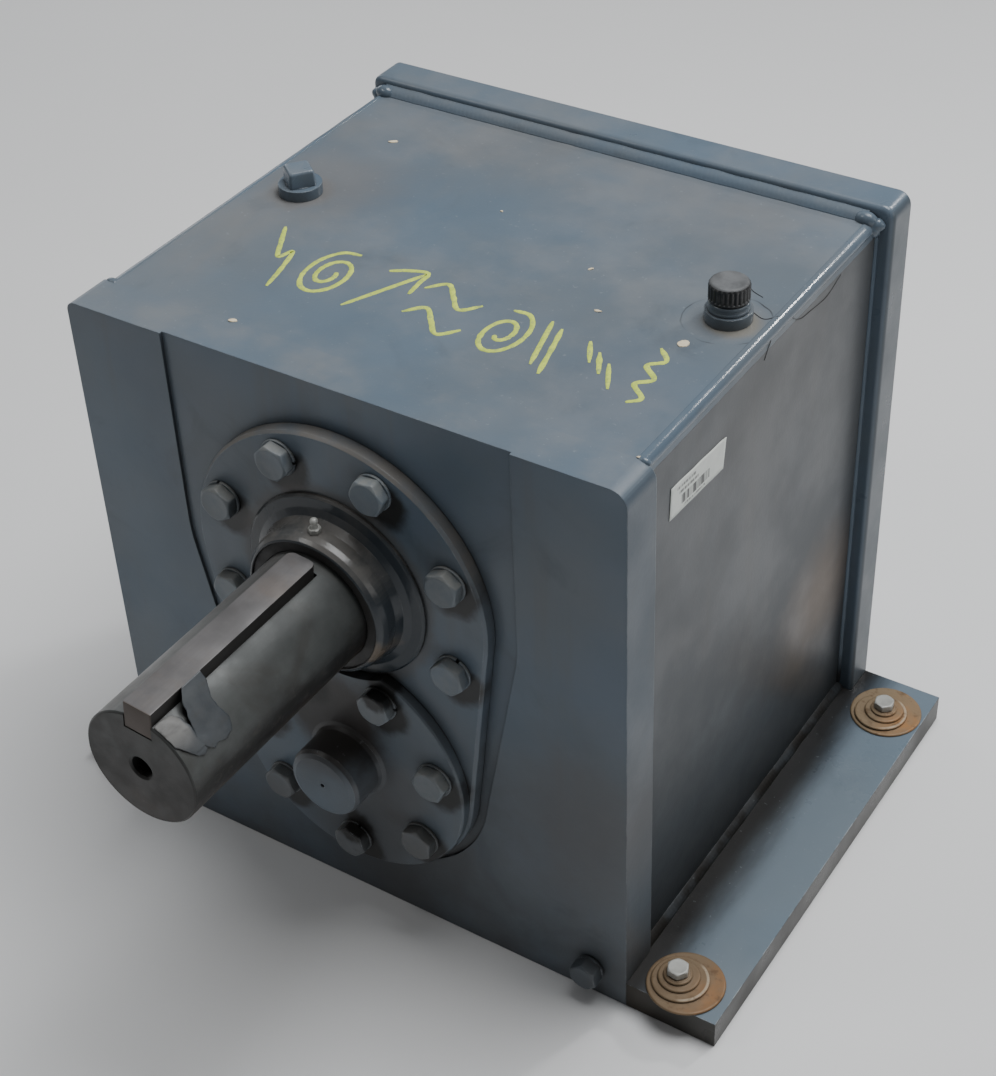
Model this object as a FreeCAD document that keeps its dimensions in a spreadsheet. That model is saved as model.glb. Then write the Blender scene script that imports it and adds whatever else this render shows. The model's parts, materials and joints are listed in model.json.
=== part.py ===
import FreeCAD, Part
import math
import os

import Sketcher
from FreeCAD import Placement, Rotation, Vector

# An industrial gearbox: a welded plate housing with a heavy keyed output shaft at the
# front and a small keyed input shaft at the back, joined by two pairs of spur gears.
#
# Frame, in millimetres: the origin is the centre of the base plate's underside, +Z is
# up, +X is to the right when facing the output shaft, and the output shaft points
# along -Y.  Every shaft lies along Y.

INCH = 25.4
SEAT_GAP = 0.04      # between a ring, gear or key and the seat that it is fitted in

doc = FreeCAD.newDocument("gearbox")
sheet = doc.addObject("Spreadsheet::Sheet", "Sizes")

SIZES = {
    # housing plates
    "base_width": 690,
    "depth": 464,
    "base_thick": 28,
    "front_width": 520,
    "front_thick": 42,
    "housing_height": 548,
    "front_right_corner": 15,
    "front_left_corner": 8,
    "rear_width": 528,
    "rear_shift": 3,
    "rear_thick": 34,
    "rear_height": 562,
    "rear_right_corner": 12,
    "rear_left_corner": 10,
    "rear_edge": 5,
    "body_width": 504,
    "side_thick": 16,
    "top_thick": 14,
    "top_edge": 7,
    "weld_leg": 7,
    "rear_weld_leg": 3,
    "top_weld_leg": 9,
    # shaft axes
    "lower_axis_height": 183,
    "output_pitch": 5,             # teeth per inch of pitch diameter
    "output_gear_teeth": 57,
    "output_pinion_teeth": 16,
    "input_pitch": 6,
    "input_gear_teeth": 54,
    "input_pinion_teeth": 17,
    "pressure_angle": 20,
    "backlash": 0.3,
    # front recess, cover, gasket and the seal housing on it
    "recess_depth": 3,
    "recess_upper_radius": 162.5,
    "recess_lower_radius": 126.7,
    "gasket_thick": 1,
    "cover_thick": 12.5,
    "cover_upper_radius": 141.3,
    "cover_lower_radius": 118.4,
    "cover_bore": 70,
    "cover_chamfer": 2.5,
    "cover_bolt_circle": 118,
    "seal_flange_radius": 86,
    "seal_barrel_radius": 66.5,
    "seal_reach": 44,
    "seal_seat_radius": 60,
    "seal_width": 12,
    # lower bearing cap
    "cap_radius": 116.5,
    "cap_thick": 9.3,
    "cap_bolt_circle": 92.5,
    "cap_bolt_count": 7,
    "cap_boss_radius": 34,
    "cap_boss_reach": 38.2,
    # front bolts, 3/4 inch
    "bolt_radius": 9.5,
    "bolt_flats": 28.6,
    "bolt_head": 10.5,
    "washer_radius": 16.4,
    "washer_thick": 2.5,
    "bolt_bite": 30,
    # output shaft
    "shaft_radius": 50.8,
    "shaft_reach": 253,
    "key_width": 25.4,
    "key_start": 55,
    "key_corner": 6,
    "key_turn": 6,
    "tape_start": 2,
    "tape_width": 54,
    "tape_thick": 0.45,
    "tape_end_angle": -60,
    "keyseat_floor": 36.5,
    "tap_radius": 9.5,
    "tap_depth": 45,
    # input shaft
    "stub_radius": 19.05,
    "stub_reach": 118,
    "stub_keyseat_width": 9.525,
    "stub_keyseat_length": 72,
    # foot holes and shipping bolts
    "foot_hole_radius": 13.5,
    "foot_hole_across": 606,
    "foot_front": 26,
    "foot_rear": 49,
    "foot_bolt_radius": 5.6,
    "foot_bolt_flats": 17.5,
    "foot_bolt_head": 7,
    "foot_washer_thick": 2.6,
    # fittings
    "fitting_boss_radius": 19.3,
    "fitting_boss_high": 9.5,
    "fill_plug_across": -201,
    "breather_across": 214.5,
    "fitting_along": 5,
    "pipe_radius": 13,
    "drain_across": 226,
    "drain_high": 31,
    "drain_pipe_radius": 10.5,
}

# Cylindrical roller bearings: bore, outside, inner race and roller radii, width, rollers.
BEARINGS = {
    "output_front": (55, 90, 64.5, 9.5, 38, 18),
    "output_rear": (47.5, 85, 56, 10.5, 32, 17),
    "intermediate_front": (32.5, 70, 41.5, 10, 33, 14),
    "intermediate_rear": (27.5, 60, 35.5, 8.5, 29, 14),
    "input_front": (20, 45, 26.5, 6.5, 23, 13),
    "input_rear": (22.5, 50, 29.5, 7, 25, 14),
}
BEARING_SIZES = ("bore", "outside", "race", "roller", "width", "count")

for bearing_name, numbers in BEARINGS.items():
    for size_name, number in zip(BEARING_SIZES, numbers):
        SIZES[f"{bearing_name}_{size_name}"] = number

for row, (alias, number) in enumerate(SIZES.items(), start=1):
    sheet.set(f"A{row}", alias)
    sheet.set(f"B{row}", str(number))
    sheet.setAlias(f"B{row}", alias)
doc.recompute()


# ---------------------------------------------------------------- expressions


def cell(alias):
    """The expression that reads one size from the sheet."""
    return f"Sizes.{alias}"


def value(expression):
    """The number that an expression gives now."""
    result = sheet.evalExpression(str(expression))
    return float(getattr(result, "Value", result))


def plus(*terms):
    return "(" + " + ".join(str(term) for term in terms) + ")"


def minus(first, *rest):
    return "(" + " - ".join(str(term) for term in (first, *rest)) + ")"


def times(*terms):
    return "(" + " * ".join(str(term) for term in terms) + ")"


FRONT_FACE = "(-Sizes.depth / 2)"
FRONT_INSIDE = "(-Sizes.depth / 2 + Sizes.front_thick)"
RECESS_FLOOR = "(-Sizes.depth / 2 + Sizes.recess_depth)"
COVER_BACK = "(-Sizes.depth / 2 + Sizes.recess_depth - Sizes.gasket_thick)"
COVER_FRONT = minus(COVER_BACK, cell("cover_thick"))
CAP_BACK = minus(COVER_FRONT, cell("gasket_thick"))
CAP_FRONT = minus(CAP_BACK, cell("cap_thick"))
REAR_INSIDE = "(Sizes.depth / 2 - Sizes.rear_thick)"
REAR_FACE = "(Sizes.depth / 2)"
REAR_CAP_FACE = plus(REAR_FACE, cell("gasket_thick"))
LOWER_Z = cell("lower_axis_height")
OUTPUT_CENTRES = f"({INCH} * (Sizes.output_gear_teeth + Sizes.output_pinion_teeth) / 2 / Sizes.output_pitch)"
INPUT_CENTRES = f"({INCH} * (Sizes.input_gear_teeth + Sizes.input_pinion_teeth) / 2 / Sizes.input_pitch)"
OUTPUT_Z = plus(LOWER_Z, OUTPUT_CENTRES)
INPUT_X = INPUT_CENTRES

# Each shaft's axis, across and up.
AXES = {
    "output": ("0", OUTPUT_Z),
    "intermediate": ("0", LOWER_Z),
    "input": (INPUT_X, LOWER_Z),
}

# ---------------------------------------------------------------- building blocks

ALONG_Y = Rotation(Vector(1, 0, 0), -90)
ALONG_X = Rotation(Vector(0, 1, 0), 90)
UPRIGHT = Rotation()

pieces = {}


def bind(item, **expressions):
    """Bind an object's sizes to expressions."""
    for name, expression in expressions.items():
        item.setExpression(name, str(expression))
    return item


def place(item, x="0", y="0", z="0", turn=UPRIGHT):
    """Put an object at a position that the sheet gives."""
    item.Placement = Placement(Vector(value(x), value(y), value(z)), turn)
    for axis, expression in zip("xyz", (x, y, z)):
        item.setExpression(f"Placement.Base.{axis}", str(expression))
    return item


def keep(node, item):
    """Name an object as one of the gearbox's own pieces."""
    item.Label = node
    pieces[node] = item
    return item


def block(label, length, width, height, x, y, z, turn=UPRIGHT):
    item = doc.addObject("Part::Box", label)
    bind(item, Length=length, Width=width, Height=height)
    return place(item, x, y, z, turn)


def rod(label, radius, start, end, across="0", up="0"):
    """A cylinder along Y."""
    item = doc.addObject("Part::Cylinder", label)
    bind(item, Radius=radius, Height=minus(end, start))
    return place(item, across, start, up, ALONG_Y)


def post(label, radius, bottom, top, x="0", y="0"):
    """An upright cylinder."""
    item = doc.addObject("Part::Cylinder", label)
    bind(item, Radius=radius, Height=minus(top, bottom))
    return place(item, x, y, bottom)


def place_about_output(item, turn, aside, along, outward):
    """Put an upright object where it would be if turned about the output axis from the top.

    turn is in degrees towards +X; aside and outward are measured from the axis before it.
    """
    angle = value(turn)
    x = f"({aside} * cos({turn}) + {outward} * sin({turn}))"
    z = plus(OUTPUT_Z, f"({outward} * cos({turn}) - {aside} * sin({turn}))")
    return place(item, x, along, z, Rotation(Vector(0, 1, 0), angle))


def prism(label, sides, flats, height, x, y, z, turn):
    """A regular prism, measured across its flats."""
    item = doc.addObject("Part::Prism", label)
    item.Polygon = sides
    bind(item, Circumradius=f"({flats} / 2 / cos({180 / sides}))", Height=height)
    return place(item, x, y, z, turn)


def join(label, *parts):
    item = doc.addObject("Part::MultiFuse", label)
    item.Shapes = list(parts)
    return item


def carve(label, base, *tools):
    """One solid with the tools cut out of it."""
    item = doc.addObject("Part::Cut", label)
    item.Base = base
    item.Tool = tools[0] if len(tools) == 1 else join(label + "_tools", *tools)
    return item


def group(label, parts):
    """Separate solids that share one node."""
    item = doc.addObject("Part::Compound", label)
    item.Links = list(parts)
    return item


def tube(label, outer, inner, start, end, across="0", up="0"):
    body = rod(label + "_outside", outer, start, end, across, up)
    hole = rod(label + "_bore", inner, minus(start, 1), plus(end, 1), across, up)
    return carve(label, body, hole)


def on_circle(count, radius, across, up, first_angle):
    """Places evenly spaced on a circle about an axis along Y, as expressions."""
    for index in range(count):
        angle = first_angle + 360 * index / count
        yield f"({across} + {radius} * cos({angle}))", f"({up} + {radius} * sin({angle}))"


def new_sketch(body, name, role):
    sketch = body.newObject("Sketcher::SketchObject", name)
    plane = next(feature for feature in body.Origin.OriginFeatures if feature.Role == role)
    sketch.AttachmentSupport = [(plane, "")]
    sketch.MapMode = "FlatFace"
    return sketch


def fix_point(sketch, geometry, point, across, up):
    """Hold one point of a sketch at a place that the sheet gives."""
    for kind, axis_line, expression in (("DistanceX", -2, across), ("DistanceY", -1, up)):
        if abs(value(expression)) < 1e-9:
            sketch.addConstraint(Sketcher.Constraint("PointOnObject", geometry, point, axis_line))
        else:
            number = sketch.addConstraint(
                Sketcher.Constraint(kind, -1, 1, geometry, point, value(expression)))
            sketch.setExpression(f"Constraints[{number}]", str(expression))


def draw_polygon(sketch, corners):
    """A closed outline whose corners are all bound to the sheet."""
    points = [Vector(value(across), value(up), 0) for across, up in corners]
    last = len(points) - 1
    for index, point in enumerate(points):
        following = points[0] if index == last else points[index + 1]
        sketch.addGeometry(Part.LineSegment(point, following), False)
    for index in range(len(points)):
        following = 0 if index == last else index + 1
        sketch.addConstraint(Sketcher.Constraint("Coincident", index, 2, following, 1))
    for index, (across, up) in enumerate(corners):
        fix_point(sketch, index, 1, across, up)


def turned(label, profile, axis):
    """A piece turned about a line along Y: its profile is (radius, y) corners in order."""
    body = doc.addObject("PartDesign::Body", label)
    sketch = new_sketch(body, label + "_profile", "XY_Plane")
    draw_polygon(sketch, profile)
    turning = body.newObject("PartDesign::Revolution", label + "_turning")
    turning.Profile = sketch
    turning.ReferenceAxis = (sketch, ["V_Axis"])
    turning.Angle = 360
    across, up = axis
    return place(body, across, "0", up)


def stepped(steps):
    """A shaft's profile from (radius, start, end) steps that follow each other."""
    corners = [("0", steps[0][1])]
    for radius, start, end in steps:
        corners += [(radius, start), (radius, end)]
    return corners + [("0", steps[-1][2])]


def egg_plate(label, upper_radius, lower_radius, front, thick, chamfer=None):
    """A plate in the XZ plane, outlined by two circles and the lines that touch both."""
    upper_z, lower_z = value(OUTPUT_Z), value(LOWER_Z)
    big, small = value(upper_radius), value(lower_radius)
    rise = (small - big) / (upper_z - lower_z)
    reach = math.sqrt(1 - rise * rise)
    body = doc.addObject("PartDesign::Body", label)
    sketch = new_sketch(body, label + "_outline", "XZ_Plane")
    lean = math.atan2(rise, reach)
    upper = Part.Circle(Vector(0, upper_z, 0), Vector(0, 0, 1), big)
    lower = Part.Circle(Vector(0, lower_z, 0), Vector(0, 0, 1), small)
    sketch.addGeometry(Part.ArcOfCircle(upper, lean, math.pi - lean), False)
    sketch.addGeometry(Part.ArcOfCircle(lower, math.pi - lean, 2 * math.pi + lean), False)
    for side in (-1, 1):
        top = Vector(side * big * reach, upper_z + big * rise, 0)
        bottom = Vector(side * small * reach, lower_z + small * rise, 0)
        sketch.addGeometry(Part.LineSegment(top, bottom), False)
    for arc, line, arc_end, line_end in ((0, 2, 2, 1), (0, 3, 1, 1), (1, 2, 1, 2), (1, 3, 2, 2)):
        sketch.addConstraint(Sketcher.Constraint("Tangent", arc, arc_end, line, line_end))
    fix_point(sketch, 0, 3, "0", OUTPUT_Z)
    fix_point(sketch, 1, 3, "0", LOWER_Z)
    for arc, radius in ((0, upper_radius), (1, lower_radius)):
        number = sketch.addConstraint(Sketcher.Constraint("Radius", arc, value(radius)))
        sketch.setExpression(f"Constraints[{number}]", str(radius))
    pad = body.newObject("PartDesign::Pad", label + "_pad")
    pad.Profile = sketch
    bind(pad, Length=thick)
    if chamfer:
        doc.recompute()
        rim = [f"Edge{number}" for number, edge in enumerate(pad.Shape.Edges, start=1)
               if edge.BoundBox.YMax < 0.001 - value(thick)]
        bevel = body.newObject("PartDesign::Chamfer", label + "_chamfer")
        bevel.Base = (pad, rim)
        bind(bevel, Size=chamfer)
    # The sketch faces -Y, so the pad grows towards the front from the plate's back.
    return place(body, "0", plus(front, thick), "0")


def hex_bolt(label, radius, flats, head, under_head, tip, across, up, side):
    """A hex bolt along Y; side is -1 where its head faces the front, 1 at the back."""
    shank = rod(label + "_shank", radius, min(under_head, tip, key=value),
                max(under_head, tip, key=value), across, up)
    start = minus(under_head, head) if side < 0 else under_head
    hexagon = prism(label + "_hexagon", 6, flats, head, across, start, up, ALONG_Y)
    corner = f"({flats} / 2 / cos(30))"
    crown = doc.addObject("Part::Cone", label + "_crown")
    small, large = f"({flats} / 2 * 0.98)", f"({corner} + {head} * 1.2)"
    if side < 0:
        bind(crown, Radius1=small, Radius2=large, Height=head)
    else:
        bind(crown, Radius1=large, Radius2=small, Height=head)
    place(crown, across, start, up, ALONG_Y)
    rounded = doc.addObject("Part::MultiCommon", label + "_head")
    rounded.Shapes = [hexagon, crown]
    return join(label, shank, rounded)


# ---------------------------------------------------------------- housing plates


def make_base_plate():
    """The foot plate, notched where the front and rear plates pass down beside it."""
    slab = block("base_slab", cell("base_width"), cell("depth"), cell("base_thick"),
                 "(-Sizes.base_width / 2)", FRONT_FACE, "0")
    front_notch = block("front_notch", cell("front_width"), cell("front_thick"), plus(cell("base_thick"), 2),
                        "(-Sizes.front_width / 2)", FRONT_FACE, "-1")
    rear_notch = block("rear_notch", cell("rear_width"), cell("rear_thick"), plus(cell("base_thick"), 2),
                       "(Sizes.rear_shift - Sizes.rear_width / 2)", REAR_INSIDE, "-1")
    holes = []
    for side in (-1, 1):
        for end, distance in ((FRONT_FACE, cell("foot_front")), (REAR_FACE, "(-Sizes.foot_rear)")):
            holes.append(post(f"foot_hole_{len(holes)}", cell("foot_hole_radius"), "-1",
                              plus(cell("base_thick"), 1), times(side, "Sizes.foot_hole_across / 2"),
                              plus(end, distance)))
    sump = rod("sump_groove", cell("drain_pipe_radius"), FRONT_INSIDE, plus(FRONT_INSIDE, 60),
               cell("drain_across"), cell("drain_high"))
    keep("base_plate", carve("base_plate", slab, front_notch, rear_notch, sump, *holes))


def rounded_plate(label, width, height, thick, start, corners, shift="0"):
    """An upright plate with its two top corners rounded, as (left, right) radii."""
    plate = block(label + "_slab", width, thick, height, minus(shift, times(0.5, width)), start, "0")
    tools = []
    for side, radius in zip((-1, 1), corners):
        inner = f"({shift} + {side} * ({width} / 2 - {radius}))"
        left = inner if side > 0 else minus(inner, radius, 1)
        square = block(f"{label}_corner_{side + 1}", plus(radius, 1), plus(thick, 2), plus(radius, 1),
                       left, minus(start, 1), minus(height, radius))
        round_part = rod(f"{label}_round_{side + 1}", radius, minus(start, 2), plus(start, thick, 2),
                         inner, minus(height, radius))
        tools.append(carve(f"{label}_trim_{side + 1}", square, round_part))
    return plate, tools


def bearing_bore(name, start, end):
    across, up = AXES[name.split("_")[0]]
    return rod(f"{name}_seat", plus(cell(name + "_outside"), SEAT_GAP), start, end, across, up)


def cover_bolt_places():
    """The cover has eight places on its bolt circle; the lower cap stands on the last two."""
    return list(on_circle(8, cell("cover_bolt_circle"), "0", OUTPUT_Z, -22.5))[:6]


def cap_bolt_places():
    return list(on_circle(SIZES["cap_bolt_count"], cell("cap_bolt_circle"), "0", LOWER_Z, -90))


def make_front_plate():
    plate, tools = rounded_plate("front", cell("front_width"), cell("housing_height"), cell("front_thick"),
                                 FRONT_FACE, (cell("front_left_corner"), cell("front_right_corner")))
    recess = egg_plate("recess_hull", cell("recess_upper_radius"), cell("recess_lower_radius"),
                       minus(FRONT_FACE, 5), plus(cell("recess_depth"), 5))
    channel = block("recess_channel", times(2, cell("recess_upper_radius")), plus(cell("recess_depth"), 5),
                    cell("housing_height"), times(-1, cell("recess_upper_radius")),
                    minus(FRONT_FACE, 5), OUTPUT_Z)
    tools += [recess, channel]
    tools.append(bearing_bore("output_front", minus(FRONT_FACE, 5), plus(FRONT_INSIDE, 5)))
    tools.append(bearing_bore("intermediate_front", minus(FRONT_FACE, 5), plus(FRONT_INSIDE, 5)))
    pocket_floor = minus(FRONT_INSIDE, cell("input_front_width"), 2)
    tools.append(bearing_bore("input_front", pocket_floor, plus(FRONT_INSIDE, 5)))
    for index, (across, up) in enumerate(cover_bolt_places() + cap_bolt_places()):
        tools.append(rod(f"front_tap_{index}", plus(cell("bolt_radius"), 0.05), minus(FRONT_FACE, 5),
                         plus(RECESS_FLOOR, cell("bolt_bite"), 2), across, up))
    tools.append(rod("drain_hole", plus(cell("drain_pipe_radius"), 0.05), minus(FRONT_FACE, 5),
                     plus(FRONT_INSIDE, 5), cell("drain_across"), cell("drain_high")))
    keep("front_plate", carve("front_plate", plate, *tools))


def make_rear_plate():
    plate, corners = rounded_plate("rear", cell("rear_width"), cell("rear_height"), cell("rear_thick"),
                                   REAR_INSIDE, (cell("rear_left_corner"), cell("rear_right_corner")),
                                   cell("rear_shift"))
    outline = carve("rear_outline", plate, *corners)
    doc.recompute()
    rim = [number for number, edge in enumerate(outline.Shape.Edges, start=1)
           if edge.BoundBox.YMax < value(REAR_INSIDE) + 0.001 and edge.BoundBox.ZMax > 1]
    softened = doc.addObject("Part::Fillet", "rear_softened")
    softened.Base = outline
    softened.Edges = [(number, value(cell("rear_edge")), value(cell("rear_edge"))) for number in rim]
    tools = []
    for name in ("output_rear", "intermediate_rear", "input_rear"):
        tools.append(bearing_bore(name, minus(REAR_INSIDE, 5), plus(REAR_FACE, 5)))
    for cap in REAR_CAPS:
        for index, (across, up) in enumerate(rear_bolt_places(cap)):
            tools.append(rod(f"{cap}_tap_{index}", REAR_CAPS[cap]["bolt"] + 0.05,
                             minus(REAR_FACE, 22), plus(REAR_FACE, 5), across, up))
    keep("rear_plate", carve("rear_plate", softened, *tools))


def make_body_plates():
    between = minus(REAR_INSIDE, FRONT_INSIDE)
    side_high = minus(cell("housing_height"), cell("top_thick"), cell("base_thick"))
    keep("left_side_plate", block("left_side_plate", cell("side_thick"), between, side_high,
                                  "(-Sizes.body_width / 2)", FRONT_INSIDE, cell("base_thick")))
    keep("right_side_plate", block("right_side_plate", cell("side_thick"), between, side_high,
                                   "(Sizes.body_width / 2 - Sizes.side_thick)", FRONT_INSIDE,
                                   cell("base_thick")))
    edge = cell("top_edge")
    half = minus("Sizes.body_width / 2", edge)
    middle = block("top_middle", times(2, half), between, cell("top_thick"),
                   times(-1, half), FRONT_INSIDE, minus(cell("housing_height"), cell("top_thick")))
    low = block("top_low", cell("body_width"), between, minus(cell("top_thick"), edge),
                "(-Sizes.body_width / 2)", FRONT_INSIDE, minus(cell("housing_height"), cell("top_thick")))
    rounds = [rod(f"top_round_{side + 1}", edge, FRONT_INSIDE, REAR_INSIDE, times(side, half),
                  minus(cell("housing_height"), edge)) for side in (-1, 1)]
    slab = block("top_slab", cell("body_width"), between, cell("top_thick"), "(-Sizes.body_width / 2)",
                 FRONT_INSIDE, minus(cell("housing_height"), cell("top_thick")))
    blank = doc.addObject("Part::MultiCommon", "top_blank")
    blank.Shapes = [join("top_outline", middle, low, *rounds), slab]
    holes = [post(f"top_hole_{across}", plus(cell("pipe_radius"), 0.05),
                  minus(cell("housing_height"), 30), plus(cell("housing_height"), 5),
                  cell(across), cell("fitting_along")) for across in ("fill_plug_across", "breather_across")]
    keep("top_plate", carve("top_plate", blank, *holes))


def quarter_bead(label, leg, length, x, y, z, turn):
    """A weld bead with a quarter-round section, filling one inside corner."""
    item = doc.addObject("Part::Cylinder", label)
    item.Angle = 90
    bind(item, Radius=leg, Height=length)
    return place(item, x, y, z, turn)


def make_weld_beads():
    leg = cell("weld_leg")
    between = minus(REAR_INSIDE, FRONT_INSIDE)
    beads = []
    for side in (-1, 1):
        wall = times(side, "Sizes.body_width / 2")
        upright_high = minus(cell("housing_height"), cell("top_thick"), cell("base_thick"), leg)
        front_turn = Rotation(Vector(0, 0, 1), 0 if side > 0 else 90)
        rear_turn = Rotation(Vector(0, 0, 1), -90 if side > 0 else 180)
        foot_turn = Rotation(Vector(1, 0, 0), 90) if side > 0 else ALONG_Y.multiply(
            Rotation(Vector(0, 0, 1), 180))
        beads.append(quarter_bead(f"front_bead_{side + 1}", leg, upright_high, wall, FRONT_INSIDE,
                                  plus(cell("base_thick"), leg), front_turn))
        beads.append(quarter_bead(f"rear_bead_{side + 1}", cell("rear_weld_leg"), upright_high, wall,
                                  REAR_INSIDE, plus(cell("base_thick"), leg), rear_turn))
        start = REAR_INSIDE if side > 0 else FRONT_INSIDE
        beads.append(quarter_bead(f"foot_bead_{side + 1}", leg, between, wall, start,
                                  cell("base_thick"), foot_turn))
    # The bead behind the top plate runs along X, between the rounded edges.
    run = minus(cell("body_width"), times(2, cell("top_edge")))
    beads.append(quarter_bead("top_bead", cell("top_weld_leg"), run,
                              "(-Sizes.body_width / 2 + Sizes.top_edge)", REAR_INSIDE,
                              cell("housing_height"), Rotation(Vector(0, 0, 1), Vector(0, -1, 0),
                                                               Vector(1, 0, 0), "ZXY")))
    keep("weld_beads", group("weld_beads", beads))


# ---------------------------------------------------------------- front cover and cap


def make_front_cover():
    plate = egg_plate("cover_blank", cell("cover_upper_radius"), cell("cover_lower_radius"),
                      COVER_FRONT, cell("cover_thick"), cell("cover_chamfer"))
    start, end = minus(COVER_FRONT, 5), plus(COVER_BACK, 5)
    holes = [rod(f"cover_{shaft}_bore", cell("cover_bore"), start, end, *AXES[shaft])
             for shaft in ("output", "intermediate")]
    for index, (across, up) in enumerate(cover_bolt_places() + cap_bolt_places()):
        holes.append(rod(f"cover_hole_{index}", plus(cell("bolt_radius"), 0.8), start, end, across, up))
    keep("front_cover", carve("front_cover", plate, *holes))


def make_front_gasket():
    sheet_blank = egg_plate("gasket_blank", minus(cell("cover_upper_radius"), 0.8),
                            minus(cell("cover_lower_radius"), 0.8), COVER_BACK, cell("gasket_thick"))
    start, end = minus(COVER_BACK, 5), plus(RECESS_FLOOR, 5)
    holes = [rod("gasket_output_hole", plus(cell("output_front_outside"), 1), start, end, *AXES["output"]),
             rod("gasket_lower_hole", plus(cell("cover_bore"), 1), start, end, *AXES["intermediate"])]
    for index, (across, up) in enumerate(cover_bolt_places() + cap_bolt_places()):
        holes.append(rod(f"gasket_hole_{index}", plus(cell("bolt_radius"), 0.8), start, end, across, up))
    keep("front_cover_gasket", carve("front_cover_gasket", sheet_blank, *holes))


def make_seal_housing():
    """The nose on the cover that holds the output seal: a flange, a barrel and a spigot."""
    flange, barrel = cell("seal_flange_radius"), cell("seal_barrel_radius")
    nose = minus(FRONT_FACE, cell("seal_reach"))
    seat = cell("seal_seat_radius")
    throat = plus(cell("shaft_radius"), 2.5)
    seat_floor = plus(nose, 2, cell("seal_width"))
    spigot = minus(cell("cover_bore"), SEAT_GAP)
    profile = [
        (throat, COVER_BACK), (spigot, COVER_BACK), (spigot, COVER_FRONT), (flange, COVER_FRONT),
        (flange, minus(COVER_FRONT, 2.5)), (minus(flange, 2), minus(COVER_FRONT, 4)),
        (plus(barrel, 9), minus(COVER_FRONT, 5)), (plus(barrel, 3), minus(COVER_FRONT, 8)),
        (barrel, minus(COVER_FRONT, 15)), (barrel, plus(nose, 9)), (minus(barrel, 1.5), plus(nose, 4)),
        (plus(seat, 2.5), plus(nose, 0.8)), (plus(seat, 0.8), nose), (seat, plus(nose, 0.8)),
        (seat, seat_floor), (throat, seat_floor),
    ]
    nipple_y = plus(nose, 13)
    blank = turned("seal_housing_blank", profile, AXES["output"])
    drill = post("nipple_hole", 3.02, plus(OUTPUT_Z, throat, -5), plus(OUTPUT_Z, barrel, 5), "0", nipple_y)
    keep("output_seal_housing", carve("output_seal_housing", blank, drill))


def make_output_seal():
    nose = minus(FRONT_FACE, cell("seal_reach"))
    front, back = plus(nose, 2), plus(nose, 2, cell("seal_width"))
    outer = minus(cell("seal_seat_radius"), SEAT_GAP)
    lip = plus(cell("shaft_radius"), 0.06)
    profile = [
        (outer, front), (outer, back), (minus(outer, 2), back), (minus(outer, 2), plus(front, 3)),
        (plus(lip, 4), plus(front, 3)), (plus(lip, 3.4), minus(back, 2)), (lip, minus(back, 4)),
        (plus(lip, 1.8), plus(front, 2)), (lip, plus(front, 0.5)), (plus(lip, 0.8), front),
    ]
    keep("output_oil_seal", turned("output_oil_seal", profile, AXES["output"]))


def make_grease_fitting():
    """A small grease nipple that stands on top of the seal housing."""
    foot = plus(OUTPUT_Z, cell("seal_barrel_radius"))
    along = plus(FRONT_FACE, times(-1, cell("seal_reach")), 13)
    stem = post("nipple_stem", 3, minus(foot, 6), plus(foot, 1), "0", along)
    hexagon = prism("nipple_hexagon", 6, 9.5, 4.5, "0", along, plus(foot, 0.2), UPRIGHT)
    neck = post("nipple_neck", 2.4, plus(foot, 4), plus(foot, 9), "0", along)
    head = doc.addObject("Part::Sphere", "nipple_head")
    head.Radius = 3.3
    place(head, "0", along, plus(foot, 10))
    keep("grease_fitting", join("grease_fitting", stem, hexagon, neck, head))


def make_lower_cap():
    """The round cap over the intermediate shaft's front bearing, with a turned boss."""
    radius, boss = cell("cap_radius"), cell("cap_boss_radius")
    tip = minus(CAP_FRONT, cell("cap_boss_reach"))
    spigot = minus(cell("cover_bore"), SEAT_GAP)
    spigot_end = minus(FRONT_INSIDE, cell("intermediate_front_width"), 0.2)
    cavity = minus(spigot, 9)
    profile = [
        ("0", CAP_BACK), (cavity, CAP_BACK), (cavity, spigot_end), (spigot, spigot_end), (spigot, CAP_BACK),
        (radius, CAP_BACK), (radius, plus(CAP_FRONT, 1.5)), (minus(radius, 1.5), CAP_FRONT),
        (plus(boss, 5), CAP_FRONT), (plus(boss, 1.5), minus(CAP_FRONT, 1.5)), (boss, minus(CAP_FRONT, 5)),
        (boss, plus(tip, 6)), (minus(boss, 2), plus(tip, 2)), (minus(boss, 6), tip), ("0", tip),
    ]
    blank = turned("lower_cap_blank", profile, AXES["intermediate"])
    relief = rod("cap_relief", plus(cell("seal_flange_radius"), 2), minus(CAP_FRONT, 5), plus(CAP_BACK, 0.5),
                 "0", OUTPUT_Z)
    centre = rod("cap_centre_mark", 2, minus(tip, 1), plus(tip, 6), *AXES["intermediate"])
    holes = [rod(f"cap_hole_{index}", plus(cell("bolt_radius"), 0.8), minus(CAP_FRONT, 5),
                 plus(CAP_BACK, 0.5), across, up) for index, (across, up) in enumerate(cap_bolt_places())]
    keep("lower_bearing_cap", carve("lower_bearing_cap", blank, relief, centre, *holes))


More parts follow.
